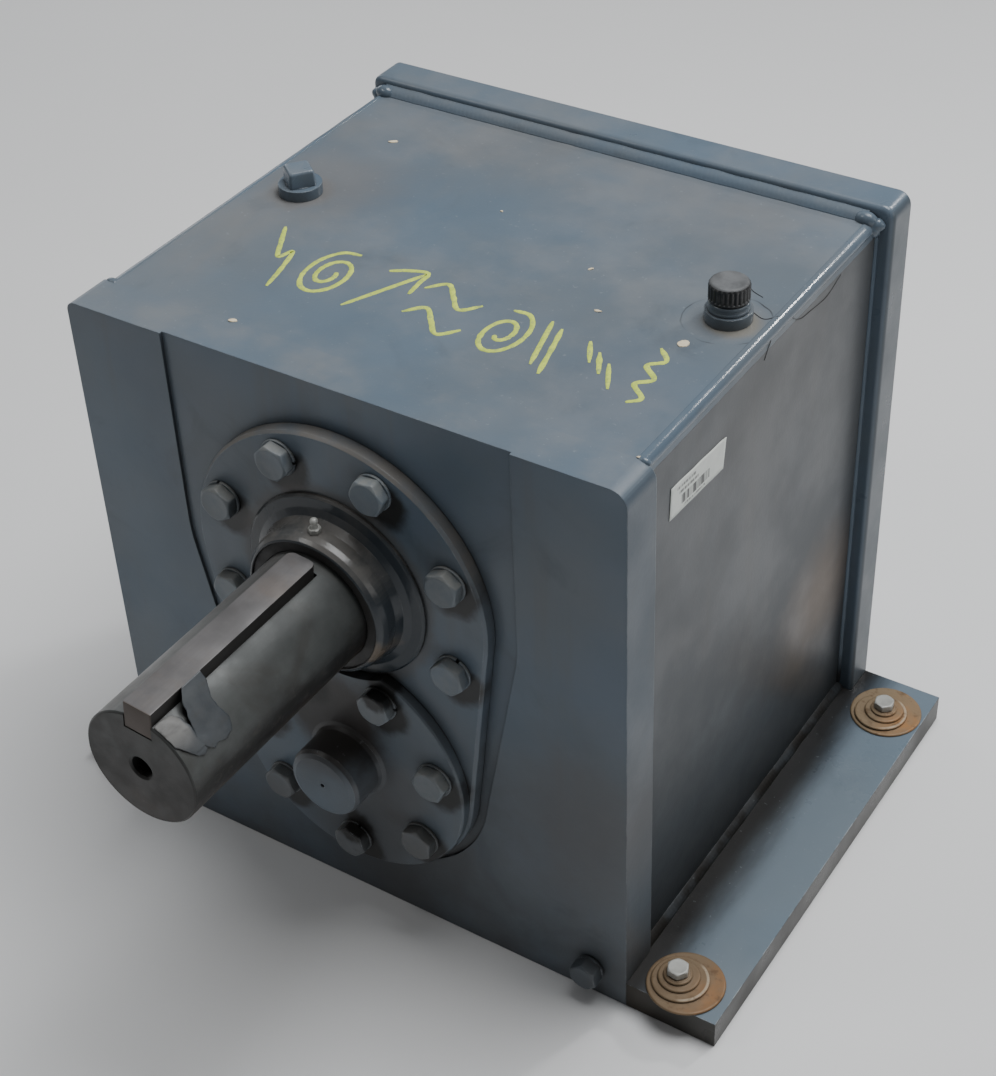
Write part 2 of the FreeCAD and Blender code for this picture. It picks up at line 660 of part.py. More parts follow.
def make_lower_gasket():
    across, up = AXES["intermediate"]
    ring = rod("cap_gasket_disc", minus(cell("cap_radius"), 0.8), CAP_BACK, COVER_FRONT, across, up)
    tools = [rod("cap_gasket_bore", plus(cell("cover_bore"), 0.2), minus(CAP_BACK, 2), plus(COVER_FRONT, 2),
                 across, up),
             rod("cap_gasket_relief", plus(cell("seal_flange_radius"), 2), minus(CAP_BACK, 2),
                 plus(COVER_FRONT, 2), "0", OUTPUT_Z)]
    for index, (bolt_across, bolt_up) in enumerate(cap_bolt_places()):
        tools.append(rod(f"cap_gasket_hole_{index}", plus(cell("bolt_radius"), 0.8), minus(CAP_BACK, 2),
                         plus(COVER_FRONT, 2), bolt_across, bolt_up))
    keep("lower_cap_gasket", carve("lower_cap_gasket", ring, *tools))


def make_front_fasteners():
    tip = plus(RECESS_FLOOR, cell("bolt_bite"))
    washers = []
    for node, places, face in (("cover_bolts", cover_bolt_places(), COVER_FRONT),
                               ("lower_cap_bolts", cap_bolt_places(), CAP_FRONT)):
        under_head = minus(face, cell("washer_thick"))
        bolts = []
        for index, (across, up) in enumerate(places):
            bolts.append(hex_bolt(f"{node}_{index}", cell("bolt_radius"), cell("bolt_flats"),
                                  cell("bolt_head"), under_head, tip, across, up, -1))
            washers.append(tube(f"{node}_washer_{index}", cell("washer_radius"),
                                plus(cell("bolt_radius"), 0.3), under_head, face, across, up))
        keep(node, group(node, bolts))
    keep("front_spring_washers", group("front_spring_washers", washers))


# ---------------------------------------------------------------- rear caps

# Each rear cap: its radius, bolt circle, bolt radius, head across flats, bolt count.
REAR_CAPS = {
    "output": {"radius": 106, "circle": 95.5, "bolt": 6.35, "flats": 19, "count": 8, "first": 22.5},
    "intermediate": {"radius": 77, "circle": 68.6, "bolt": 4.7, "flats": 14, "count": 6, "first": 0},
    "input": {"radius": 68, "circle": 59.3, "bolt": 4.7, "flats": 14, "count": 6, "first": 30},
}
REAR_CAP_THICK = 12
REAR_SEAL_SEAT = 31
REAR_BARREL = 38
REAR_BARREL_REACH = 14


def rear_bolt_places(cap):
    sizes = REAR_CAPS[cap]
    return list(on_circle(sizes["count"], sizes["circle"], *AXES[cap], sizes["first"]))


def make_rear_cap(cap):
    """A bolted cap behind a rear bearing; the input shaft's cap is open and holds a seal."""
    sizes = REAR_CAPS[cap]
    radius = sizes["radius"]
    spigot = minus(cell(cap + "_rear_outside"), 2 * SEAT_GAP)
    cavity = minus(spigot, 7)
    spigot_end = plus(REAR_INSIDE, cell(cap + "_rear_width"), 0.2)
    outer = plus(REAR_CAP_FACE, REAR_CAP_THICK)
    if cap == "input":
        end = plus(outer, REAR_BARREL_REACH)
        throat = plus(cell("stub_radius"), 3)
        seat_floor = minus(end, 12)
        middle = [(throat, REAR_CAP_FACE), (cavity, REAR_CAP_FACE)]
        nose = [(plus(REAR_BARREL, 4), outer), (REAR_BARREL, plus(outer, 4)), (REAR_BARREL, minus(end, 2)),
                (REAR_BARREL - 2, end), (REAR_SEAL_SEAT, end), (REAR_SEAL_SEAT, seat_floor),
                (throat, seat_floor)]
    else:
        middle = [("0", REAR_CAP_FACE), (cavity, REAR_CAP_FACE)]
        nose = [(radius - 24, outer), (radius - 28, minus(outer, 3)), ("0", minus(outer, 3))]
    profile = middle + [
        (cavity, spigot_end), (spigot, spigot_end), (spigot, REAR_CAP_FACE), (radius, REAR_CAP_FACE),
        (radius, minus(outer, 1.5)), (radius - 1.5, outer),
    ] + nose
    blank = turned(f"{cap}_cap_blank", profile, AXES[cap])
    holes = [rod(f"{cap}_cap_hole_{index}", sizes["bolt"] + 0.5, minus(REAR_CAP_FACE, 1), plus(outer, 5),
                 across, up) for index, (across, up) in enumerate(rear_bolt_places(cap))]
    node = f"{cap}_rear_cap"
    keep(node, carve(node, blank, *holes))


def make_rear_gaskets_and_bolts():
    gaskets, bolts = [], []
    outer = plus(REAR_CAP_FACE, REAR_CAP_THICK)
    for cap, sizes in REAR_CAPS.items():
        across, up = AXES[cap]
        ring = rod(f"{cap}_gasket_disc", sizes["radius"] - 0.5, REAR_FACE, REAR_CAP_FACE, across, up)
        tools = [rod(f"{cap}_gasket_bore", plus(cell(cap + "_rear_outside"), 0.3), minus(REAR_FACE, 2),
                     plus(REAR_CAP_FACE, 2), across, up)]
        for index, (bolt_across, bolt_up) in enumerate(rear_bolt_places(cap)):
            label = f"{cap}_gasket_hole_{index}"
            tools.append(rod(label, sizes["bolt"] + 0.5, minus(REAR_FACE, 2), plus(REAR_CAP_FACE, 2),
                             bolt_across, bolt_up))
            bolts.append(hex_bolt(f"{cap}_rear_bolt_{index}", sizes["bolt"], sizes["flats"],
                                  sizes["flats"] * 0.42, outer, minus(REAR_FACE, 20),
                                  bolt_across, bolt_up, 1))
        gaskets.append(carve(f"{cap}_rear_gasket", ring, *tools))
    keep("rear_cap_gaskets", group("rear_cap_gaskets", gaskets))
    keep("rear_cap_bolts", group("rear_cap_bolts", bolts))


def make_input_seal():
    end = plus(REAR_CAP_FACE, REAR_CAP_THICK, REAR_BARREL_REACH)
    front, back = minus(end, 11.9), minus(end, 2)
    outer = REAR_SEAL_SEAT - SEAT_GAP
    lip = plus(cell("stub_radius"), 1, 0.06)
    profile = [
        (outer, front), (outer, back), (plus(lip, 0.8), back), (lip, minus(back, 0.5)),
        (plus(lip, 1.6), minus(back, 2)), (lip, plus(front, 3.5)), (plus(lip, 3), plus(front, 1.5)),
        (plus(lip, 3.6), minus(back, 3)), (outer - 2, minus(back, 3)), (outer - 2, front),
    ]
    keep("input_oil_seal", turned("input_oil_seal", profile, AXES["input"]))


# ---------------------------------------------------------------- shafts and gears


def pitch_radius(teeth, pitch):
    return INCH * teeth / pitch / 2


def gear_outline(teeth, pitch, tooth_angle):
    """A closed wire of involute teeth in the XZ plane, one tooth centred on tooth_angle."""
    pressure = math.radians(value(cell("pressure_angle")))
    module = INCH / pitch
    radius = pitch_radius(teeth, pitch)
    base, tip, root = radius * math.cos(pressure), radius + module, radius - 1.25 * module
    half_pitch_angle = math.pi / 2 / teeth - value(cell("backlash")) / 4 / radius
    involute_at_pitch = math.tan(pressure) - pressure

    def half_angle(at):
        roll = math.acos(min(1.0, base / at))
        return half_pitch_angle + involute_at_pitch - (math.tan(roll) - roll)

    def point(at, angle):
        return Vector(at * math.cos(angle), 0, at * math.sin(angle))

    start = max(base, root)
    middle = (start + tip) / 2
    edges = []
    for tooth in range(teeth):
        centre = tooth_angle + 2 * math.pi * tooth / teeth
        following = centre + 2 * math.pi / teeth
        up, over, down = [], [], []
        for side, flank in ((-1, up), (1, down)):
            flank += [point(at, centre + side * half_angle(at)) for at in (start, middle, tip)]
        foot_up = point(root, centre - half_angle(start))
        foot_down = point(root, centre + half_angle(start))
        next_foot = point(root, following - half_angle(start))
        if start > root:
            edges.append(Part.LineSegment(foot_up, up[0]).toShape())
        edges.append(Part.Arc(*up).toShape())
        edges.append(Part.Arc(up[2], point(tip, centre), down[2]).toShape())
        edges.append(Part.Arc(*reversed(down)).toShape())
        if start > root:
            edges.append(Part.LineSegment(down[0], foot_down).toShape())
        valley = point(root, centre + math.pi / teeth)
        edges.append(Part.Arc(foot_down, valley, next_foot).toShape())
    return Part.Wire(edges)


def gear_teeth(teeth, pitch, tooth_angle, start, end):
    """The toothed blank, from y = start to y = end, about the Y axis."""
    face = Part.Face(gear_outline(teeth, pitch, math.radians(tooth_angle)))
    face.translate(Vector(0, start, 0))
    return face.extrude(Vector(0, end - start, 0))


def y_cylinder(radius, start, end):
    return Part.makeCylinder(radius, end - start, Vector(0, start, 0), Vector(0, 1, 0))


# Where the gears lie along Y, and the faces that they rest against.
OUTPUT_GEAR = (-152, -60)
OUTPUT_PINION = (-157, -55)
INPUT_GEAR = (20, 80)
INPUT_PINION = (15, 85)
OUTPUT_GEAR_SEAT = 60
INPUT_GEAR_SEAT = 36
RING_THICK = 4
GEAR_KEY = {"output": (28, 16, -148, -64), "intermediate": (18, 11, 24, 76)}


def wheel(node, teeth, pitch, tooth_angle, span, seat, hub, web_inset, shaft):
    """A gear with a hub, a thinner web and a keyed bore."""
    start, end = span
    solid = gear_teeth(teeth, pitch, tooth_angle, start, end)
    solid = solid.cut(y_cylinder(seat + SEAT_GAP, start - 1, end + 1))
    rim = pitch_radius(teeth, pitch) - 4 * INCH / pitch
    for low, high in ((start - 1, start + web_inset), (end - web_inset, end + 1)):
        solid = solid.cut(y_cylinder(rim, low, high).cut(y_cylinder(hub, low - 1, high + 1)))
    key_wide, key_high, key_low, key_end = GEAR_KEY[shaft]
    width = key_wide + 2 * SEAT_GAP
    slot = Part.makeBox(width, end - start + 2, seat + key_high / 2 + SEAT_GAP,
                        Vector(-width / 2, start - 1, 0))
    feature = doc.addObject("Part::Feature", node)
    feature.Shape = solid.cut(slot)
    across, up = AXES[shaft]
    feature.Placement = Placement(Vector(value(across), 0, value(up)), UPRIGHT)
    keep(node, feature)


def gear_key(node, seat, shaft):
    wide, high, start, end = GEAR_KEY[shaft]
    across, up = AXES[shaft]
    keep(node, block(node, str(wide), str(end - start), str(high), minus(across, wide / 2), str(start),
                     plus(up, seat - high / 2)))


def key_slot(label, shaft, seat):
    wide, high, start, end = GEAR_KEY[shaft]
    across, up = AXES[shaft]
    gap = 2 * SEAT_GAP
    return block(label, str(wide + gap), str(end - start + gap), str(high + 5),
                 minus(across, wide / 2 + SEAT_GAP), str(start - SEAT_GAP),
                 plus(up, seat - high / 2 - SEAT_GAP))


def make_output_shaft():
    tip = minus(FRONT_FACE, cell("shaft_reach"))
    radius = cell("shaft_radius")
    front_bore, rear_bore = cell("output_front_bore"), cell("output_rear_bore")
    start, end = OUTPUT_GEAR
    rear_end = plus(REAR_INSIDE, cell("output_rear_width"), -2)
    ring_floor = OUTPUT_GEAR_SEAT - 3
    steps = [
        (radius, plus(tip, 1.5), minus(FRONT_INSIDE, cell("output_front_width"), 0.5)),
        (front_bore, minus(FRONT_INSIDE, cell("output_front_width"), 0.5), FRONT_INSIDE),
        (plus(front_bore, 7), FRONT_INSIDE, str(start - 13)),
        (OUTPUT_GEAR_SEAT + 10, str(start - 13), str(start)),
        (OUTPUT_GEAR_SEAT, str(start), str(end)),
        (ring_floor, str(end), str(end + RING_THICK)),
        (OUTPUT_GEAR_SEAT, str(end + RING_THICK), str(end + 15)),
        (plus(rear_bore, 5), str(end + 15), REAR_INSIDE),
        (rear_bore, REAR_INSIDE, rear_end),
    ]
    profile = stepped(steps)
    profile[0:2] = [("0", tip), (minus(radius, 1.5), tip), (radius, plus(tip, 1.5))]
    blank = turned("output_shaft_blank", profile, AXES["output"])
    keyseat = doc.addObject("Part::Box", "output_keyseat")
    bind(keyseat, Length=plus(cell("key_width"), 0.04),
         Width=plus(cell("shaft_reach"), minus(5, cell("key_start"))), Height="40")
    place_about_output(keyseat, cell("key_turn"), "(-Sizes.key_width / 2 - 0.02)", minus(tip, 5),
                       minus(cell("keyseat_floor"), 0.02))
    tapping = rod("output_tapping", cell("tap_radius"), minus(tip, 1), plus(tip, cell("tap_depth")),
                  *AXES["output"])
    sink = doc.addObject("Part::Cone", "output_countersink")
    bind(sink, Radius1=plus(cell("tap_radius"), 1.6), Radius2=cell("tap_radius"))
    sink.Height = 1.6
    place(sink, "0", tip, OUTPUT_Z, ALONG_Y)
    keep("output_shaft", carve("output_shaft", blank, keyseat, tapping, sink,
                               key_slot("output_gear_slot", "output", OUTPUT_GEAR_SEAT)))


def make_output_key():
    """The square key, flush with the shaft's end, with its two back corners rounded."""
    tip = minus(FRONT_FACE, cell("shaft_reach"))
    width, corner, floor = cell("key_width"), cell("key_corner"), cell("keyseat_floor")
    turn, front = cell("key_turn"), plus(tip, 0.5)
    length = minus(cell("shaft_reach"), cell("key_start"), 1)
    main = doc.addObject("Part::Box", "key_main")
    bind(main, Length=width, Width=minus(length, corner), Height=width)
    place_about_output(main, turn, f"(-{width} / 2)", front, floor)
    tail = doc.addObject("Part::Box", "key_tail")
    bind(tail, Length=minus(width, times(2, corner)), Width=length, Height=width)
    place_about_output(tail, turn, f"(-{width} / 2 + {corner})", front, floor)
    rounds = []
    for side in (-1, 1):
        rounded = doc.addObject("Part::Cylinder", f"key_round_{side + 1}")
        bind(rounded, Radius=corner, Height=width)
        rounds.append(place_about_output(rounded, turn, f"({side} * ({width} / 2 - {corner}))",
                                         minus(plus(front, length), corner), floor))
    keep("output_key", join("output_key", main, tail, *rounds))


def make_retaining_rings():
    """The snap rings that hold each gear against its shaft's shoulder."""
    for node, shaft, seat, span in (("output_gear_ring", "output", OUTPUT_GEAR_SEAT, OUTPUT_GEAR),
                                    ("intermediate_gear_ring", "intermediate", INPUT_GEAR_SEAT, INPUT_GEAR)):
        start = span[1] + 0.1
        ring = tube(node + "_blank", seat + 5, seat - 3 + SEAT_GAP, str(start), str(start + RING_THICK - 0.2),
                    *AXES[shaft])
        across, up = AXES[shaft]
        gap = block(node + "_gap", "12", "10", "20", minus(across, 6), str(start - 3), plus(up, seat - 8))
        keep(node, carve(node, ring, gap))


def make_intermediate_shaft():
    """The middle shaft, with the output pinion cut in one piece with it."""
    front_bore, rear_bore = cell("intermediate_front_bore"), cell("intermediate_rear_bore")
    pinion_start, pinion_end = OUTPUT_PINION
    start, end = INPUT_GEAR
    root = pitch_radius(SIZES["output_pinion_teeth"], SIZES["output_pitch"]) - 8
    steps = [
        (front_bore, minus(FRONT_INSIDE, cell("intermediate_front_width"), -1), FRONT_INSIDE),
        (plus(front_bore, 5.5), FRONT_INSIDE, str(pinion_start)),
        (root, str(pinion_start), str(pinion_end)),
        (plus(front_bore, 5.5), str(pinion_end), str(start - 12)),
        (INPUT_GEAR_SEAT + 8, str(start - 12), str(start)),
        (INPUT_GEAR_SEAT, str(start), str(end)),
        (INPUT_GEAR_SEAT - 3, str(end), str(end + RING_THICK)),
        (INPUT_GEAR_SEAT, str(end + RING_THICK), str(end + 14)),
        (plus(rear_bore, 4.5), str(end + 14), REAR_INSIDE),
        (rear_bore, REAR_INSIDE, plus(REAR_INSIDE, cell("intermediate_rear_width"), -1)),
    ]
    core = turned("intermediate_core", stepped(steps), AXES["intermediate"])
    half_tooth = 180 / SIZES["output_pinion_teeth"]
    pinion = doc.addObject("Part::Feature", "output_pinion_teeth")
    pinion.Shape = gear_teeth(SIZES["output_pinion_teeth"], SIZES["output_pitch"], 90 + half_tooth,
                              *OUTPUT_PINION)
    pinion.Placement = Placement(Vector(0, 0, value(LOWER_Z)), UPRIGHT)
    blank = join("intermediate_blank", core, pinion)
    keep("intermediate_shaft", carve("intermediate_shaft", blank,
                                     key_slot("intermediate_gear_slot", "intermediate", INPUT_GEAR_SEAT)))


def make_input_shaft():
    """The fast shaft, with its pinion cut in one piece and a keyed stub at the back."""
    front_bore, rear_bore = cell("input_front_bore"), cell("input_rear_bore")
    start, end = INPUT_PINION
    stub_end = plus(REAR_FACE, cell("stub_reach"))
    stub_start = plus(REAR_CAP_FACE, REAR_CAP_THICK, REAR_BARREL_REACH, 4)
    root = pitch_radius(SIZES["input_pinion_teeth"], SIZES["input_pitch"]) - 7
    stub = cell("stub_radius")
    steps = [
        (front_bore, minus(FRONT_INSIDE, cell("input_front_width"), -1), FRONT_INSIDE),
        (plus(front_bore, 5), FRONT_INSIDE, str(start)),
        (root, str(start), str(end)),
        (plus(rear_bore, 5), str(end), REAR_INSIDE),
        (rear_bore, REAR_INSIDE, plus(REAR_INSIDE, cell("input_rear_width"), 1)),
        (plus(stub, 1), plus(REAR_INSIDE, cell("input_rear_width"), 1), stub_start),
        (stub, stub_start, minus(stub_end, 1.5)),
    ]
    profile = stepped(steps)
    profile[-1:] = [(minus(stub, 1.5), stub_end), ("0", stub_end)]
    core = turned("input_core", profile, AXES["input"])
    teeth = SIZES["input_pinion_teeth"]
    pinion = doc.addObject("Part::Feature", "input_pinion_teeth")
    pinion.Shape = gear_teeth(teeth, SIZES["input_pitch"], 180 + 180 / teeth, *INPUT_PINION)
    pinion.Placement = Placement(Vector(value(INPUT_X), 0, value(LOWER_Z)), UPRIGHT)
    blank = join("input_blank", core, pinion)
    across, up = AXES["input"]
    wide = cell("stub_keyseat_width")
    keyseat = block("stub_keyseat", wide, plus(cell("stub_keyseat_length"), 5), "20",
                    minus(across, f"{wide} / 2"), minus(stub_end, cell("stub_keyseat_length")),
                    plus(up, stub, f"(-{wide} / 2)"))
    centre = rod("stub_centre", 3, minus(stub_end, 8), plus(stub_end, 1), across, up)
    keep("input_shaft", carve("input_shaft", blank, keyseat, centre))


# ---------------------------------------------------------------- bearings

RACE_GAP = 0.1       # between a roller and each race
CAGE_HALF = 2.4      # half the cage's thickness
POCKET_GAP = 0.25


def make_bearing(name, start):
    """Outer ring, inner ring, and the cage with its rollers, from y = start."""
    axis = AXES[name.split("_")[0]]
    end = plus(start, cell(name + "_width"))
    bore, outside = cell(name + "_bore"), cell(name + "_outside")
    race, roller = cell(name + "_race"), cell(name + "_roller")
    outer_race = plus(race, f"2 * {roller}", 2 * RACE_GAP)
    lip = 3
    outer_profile = [
        (outside, start), (outside, end),
        (minus(outer_race, 3), end), (minus(outer_race, 3), minus(end, lip)),
        (outer_race, minus(end, lip)), (outer_race, plus(start, lip)),
        (minus(outer_race, 3), plus(start, lip)), (minus(outer_race, 3), start),
    ]
    keep(f"{name}_outer_ring", turned(f"{name}_outer_ring", outer_profile, axis))
    keep(f"{name}_inner_ring", tube(f"{name}_inner_ring", race, plus(bore, SEAT_GAP), start, end, *axis))
    centre_radius = plus(race, roller, RACE_GAP)
    roller_start, roller_end = plus(start, lip, 0.3), minus(end, lip, 0.3)
    cage = tube(f"{name}_cage_ring", plus(centre_radius, CAGE_HALF), minus(centre_radius, CAGE_HALF),
                plus(start, 1), minus(end, 1), *axis)
    rollers, pockets = [], []
    for index, (across, up) in enumerate(on_circle(SIZES[name + "_count"], centre_radius, *axis, 0)):
        rollers.append(rod(f"{name}_roller_{index}", roller, roller_start, roller_end, across, up))
        pockets.append(rod(f"{name}_pocket_{index}", plus(roller, POCKET_GAP),
                           minus(roller_start, POCKET_GAP), plus(roller_end, POCKET_GAP), across, up))
    cage = carve(f"{name}_cage", cage, *pockets)
    keep(f"{name}_rollers", group(f"{name}_rollers", [cage, *rollers]))


def make_bearings():
    for name in BEARINGS:
        if name.endswith("front"):
            make_bearing(name, minus(FRONT_INSIDE, cell(name + "_width")))
        else:
            make_bearing(name, REAR_INSIDE)


# ---------------------------------------------------------------- fittings and fasteners


def make_foot_fasteners():
    """A shipping bolt in each foot hole, on a stack of washers that shrinks upwards and lies askew."""
    radii = ((34, 14.2), (25.1, 9.2), (18.4, 7), (12.7, 6.6))
    bolts, washers = [], []
    for side in (-1, 1):
        for place_name, end, distance, shift, slides in (
                ("front", FRONT_FACE, cell("foot_front"), -7.5,
                 ((8.2, -0.5), (3, -0.9), (1.2, 0), (0.4, -0.4))),
                ("rear", REAR_FACE, "(-Sizes.foot_rear)", 5,
                 ((1.5, 2.7), (-1.6, -2.6), (0.6, -0.4), (0.3, -0.3)))):
            across = times(side, plus("Sizes.foot_hole_across / 2", shift))
            along = plus(end, distance)
            bottom = cell("base_thick")
            for level, (outer, inner) in enumerate(radii):
                x, y = plus(across, side * slides[level][0]), plus(along, slides[level][1])
                top = plus(bottom, cell("foot_washer_thick"))
                label = f"{place_name}_washer_{side + 1}_{level}"
                disc = post(label + "_disc", str(outer), bottom, top, x, y)
                hole = post(label + "_hole", str(inner), minus(bottom, 1), plus(top, 1), x, y)
                washers.append(carve(label, disc, hole))
                bottom = top
            label = f"{place_name}_foot_bolt_{side + 1}"
            shank = post(label + "_shank", cell("foot_bolt_radius"), "0", plus(bottom, 1), across, along)
            head = prism(label + "_head", 6, cell("foot_bolt_flats"), cell("foot_bolt_head"), across, along,
                         bottom, UPRIGHT)
            bolts.append(join(label, shank, head))
    keep("foot_bolts", group("foot_bolts", bolts))
    keep("foot_washers", group("foot_washers", washers))


def make_fitting_bosses():
    """The two round bosses welded to the top plate, for the fill plug and the breather."""
    bottom = cell("housing_height")
    top = plus(bottom, cell("fitting_boss_high"))
    along = cell("fitting_along")
    bosses = []
    for across in ("fill_plug_across", "breather_across"):
        outside = post(across + "_boss_outside", cell("fitting_boss_radius"), bottom, top,
                       cell(across), along)
        bore = post(across + "_boss_bore", plus(cell("pipe_radius"), 0.05), minus(bottom, 1), plus(top, 1),
                    cell(across), along)
        bosses.append(carve(across + "_boss", outside, bore))
    keep("fitting_bosses", group("fitting_bosses", bosses))


def make_fill_plug():
    """A square-headed pipe plug in its boss."""
    across, along = cell("fill_plug_across"), cell("fitting_along")
    boss_top = plus(cell("housing_height"), cell("fitting_boss_high"))
    shank = post("fill_plug_shank", cell("pipe_radius"), minus(boss_top, 18), plus(boss_top, 0.5),
                 across, along)
    head = prism("fill_plug_head", 4, 23.5, 14.5, across, along, boss_top,
                 Rotation(Vector(0, 0, 1), 45 + SQUARE_HEAD_TURN))
    keep("fill_plug", join("fill_plug", shank, head))


SQUARE_HEAD_TURN = 22     # the square head's turn about Z, where it stopped when tightened


def make_breather():
    across, along = cell("breather_across"), cell("fitting_along")
    boss_top = plus(cell("housing_height"), cell("fitting_boss_high"))
    shank = post("breather_shank", cell("pipe_radius"), minus(boss_top, 18), plus(boss_top, 0.5),
                 across, along)
    nut = post("breather_collar", 16.8, boss_top, plus(boss_top, 8.5), across, along)
    neck = post("breather_neck", 12, plus(boss_top, 8), plus(boss_top, 12.5), across, along)
    keep("breather_body", join("breather_body", shank, nut, neck))
    cap_bottom, cap_top = plus(boss_top, 9.1), plus(boss_top, 25)
    shell = post("breather_shell", 16.6, cap_bottom, cap_top, across, along)
    hollow = post("breather_hollow", 12.6, minus(cap_bottom, 1), plus(boss_top, 12.5), across, along)
    keep("breather_cap", carve("breather_cap", shell, hollow))


def make_drain_plug():
    across, up = cell("drain_across"), cell("drain_high")
    shank = rod("drain_shank", cell("drain_pipe_radius"), minus(FRONT_FACE, 4), plus(FRONT_FACE, 24),
                across, up)
    head = prism("drain_head", 6, 24, 13, across, minus(FRONT_FACE, 17), up, ALONG_Y)
    keep("drain_plug", join("drain_plug", shank, head))


def make_label():
    """A blank paper label stuck a little crooked on the right side."""
    keep("side_label", block("side_label", "0.4", "86", "29", "(Sizes.body_width / 2)", plus(FRONT_FACE, 76),
                             "470.5", Rotation(Vector(1, 0, 0), -3.7)))


def make_shaft_tape():
    """A strip of tape near the shaft's end, from the key's top edge round the shaft's right side."""
    start = plus(FRONT_FACE, times(-1, cell("shaft_reach")), cell("tape_start"))
    end = plus(start, cell("tape_width"))
    across, up = AXES["output"]
    key_edge = math.hypot(value("Sizes.keyseat_floor + Sizes.key_width"), value("Sizes.key_width / 2"))
    key_edge_angle = 90 - value(cell("key_turn")) - math.degrees(
        math.atan2(value("Sizes.key_width / 2"), value("Sizes.keyseat_floor + Sizes.key_width")))
    inner = value(cell("shaft_radius")) + 0.05
    free_angle = math.degrees(math.acos(inner / key_edge))
    touch_angle = key_edge_angle - free_angle
    end_angle = value(cell("tape_end_angle"))
    outside = rod("tape_outside", plus(cell("shaft_radius"), 0.05, cell("tape_thick")), start, end,
                  across, up)
    outside.Angle = touch_angle - end_angle
    # A cylinder laid along +Y measures its angle from +X towards -Z.
    outside.Placement.Rotation = ALONG_Y.multiply(Rotation(Vector(0, 0, 1), -touch_angle))
    inside = rod("tape_inside", plus(cell("shaft_radius"), 0.05), minus(start, 1), plus(end, 1), across, up)
    wrap = carve("tape_wrap", outside, inside)
    bridge = doc.addObject("Part::Box", "tape_bridge")
    free_length = inner * math.tan(math.radians(free_angle))
    bind(bridge, Length=free_length, Width=cell("tape_width"), Height=cell("tape_thick"))
    place_about_output(bridge, str(90 - touch_angle), str(-free_length), start,
                       plus(cell("shaft_radius"), 0.05))
    keep("shaft_tape", join("shaft_tape", wrap, bridge))


# ---------------------------------------------------------------- the whole gearbox

make_base_plate()
make_front_plate()
make_rear_plate()
make_body_plates()
make_weld_beads()
make_front_cover()
make_front_gasket()
make_seal_housing()
make_output_seal()
make_grease_fitting()
make_lower_cap()
make_lower_gasket()
make_front_fasteners()
for cap_name in REAR_CAPS:
    make_rear_cap(cap_name)
make_rear_gaskets_and_bolts()
make_input_seal()
make_output_shaft()
make_output_key()
make_retaining_rings()
make_intermediate_shaft()
make_input_shaft()
wheel("output_gear", SIZES["output_gear_teeth"], SIZES["output_pitch"], -90, OUTPUT_GEAR, OUTPUT_GEAR_SEAT,
      88, 24, "output")
wheel("intermediate_gear", SIZES["input_gear_teeth"], SIZES["input_pitch"], 0, INPUT_GEAR, INPUT_GEAR_SEAT,
      58, 16, "intermediate")
gear_key("output_gear_key", OUTPUT_GEAR_SEAT, "output")
gear_key("intermediate_gear_key", INPUT_GEAR_SEAT, "intermediate")
make_bearings()
make_foot_fasteners()
make_fitting_bosses()
make_fill_plug()
make_breather()
make_drain_plug()
make_label()
make_shaft_tape()

doc.recompute()

for item in doc.Objects:
    if "Invalid" in item.State or "Error" in item.State:
        raise RuntimeError(f"{item.Label} failed: {item.State}")
for node, item in pieces.items():
    if item.Shape.isNull() or not item.Shape.isValid():
        raise RuntimeError(f"{node} has no valid shape")
    if item.Label != node:
        raise RuntimeError(f"{node} is labelled {item.Label}")

os.makedirs("parts", exist_ok=True)
for node, item in pieces.items():
    item.Shape.exportStep(f"parts/{node}.step")
    print(f"{node:28s} solids {len(item.Shape.Solids):3d}  volume {item.Shape.Volume / 1000:10.1f} cm3")
print(len(pieces), "pieces")
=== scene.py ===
import json
from math import acos, atan2, copysign, cos, degrees as to_degrees, hypot, pi, radians, sin

import bmesh
import bpy
from mathutils import Matrix, Vector, noise


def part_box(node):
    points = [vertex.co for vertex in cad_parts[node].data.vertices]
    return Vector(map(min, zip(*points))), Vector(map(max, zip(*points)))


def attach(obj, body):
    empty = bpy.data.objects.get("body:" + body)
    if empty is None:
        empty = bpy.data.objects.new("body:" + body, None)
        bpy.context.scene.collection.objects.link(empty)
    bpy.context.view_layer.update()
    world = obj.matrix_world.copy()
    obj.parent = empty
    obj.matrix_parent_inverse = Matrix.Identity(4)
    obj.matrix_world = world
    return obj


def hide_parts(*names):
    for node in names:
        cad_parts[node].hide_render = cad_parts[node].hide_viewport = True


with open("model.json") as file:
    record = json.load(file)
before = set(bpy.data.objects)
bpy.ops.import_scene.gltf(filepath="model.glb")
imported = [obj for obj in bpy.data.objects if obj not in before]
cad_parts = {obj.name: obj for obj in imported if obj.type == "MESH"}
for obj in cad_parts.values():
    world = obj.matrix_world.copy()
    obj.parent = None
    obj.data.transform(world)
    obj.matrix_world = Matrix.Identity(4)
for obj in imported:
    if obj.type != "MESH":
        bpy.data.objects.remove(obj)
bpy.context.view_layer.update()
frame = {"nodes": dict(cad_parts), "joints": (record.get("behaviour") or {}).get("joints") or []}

MM = 0.001
LEFT = Vector((-1, 0, 0))
RIGHT = Vector((1, 0, 0))
UP = Vector((0, 0, 1))
FRONT = Vector((0, -1, 0))
BACK = Vector((0, 1, 0))

# ---------------------------------------------------------------- places that the CAD gives

X, Y, Z = range(3)
LOW, HIGH = range(2)


def middle(node):
    low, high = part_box(node)
    return (Vector(low) + Vector(high)) / 2


def polar(centre, radius, degrees, along):
    """A place on a circle about a line along Y."""
    return Vector((centre.x + radius * cos(radians(degrees)), along,
                   centre.z + radius * sin(radians(degrees))))


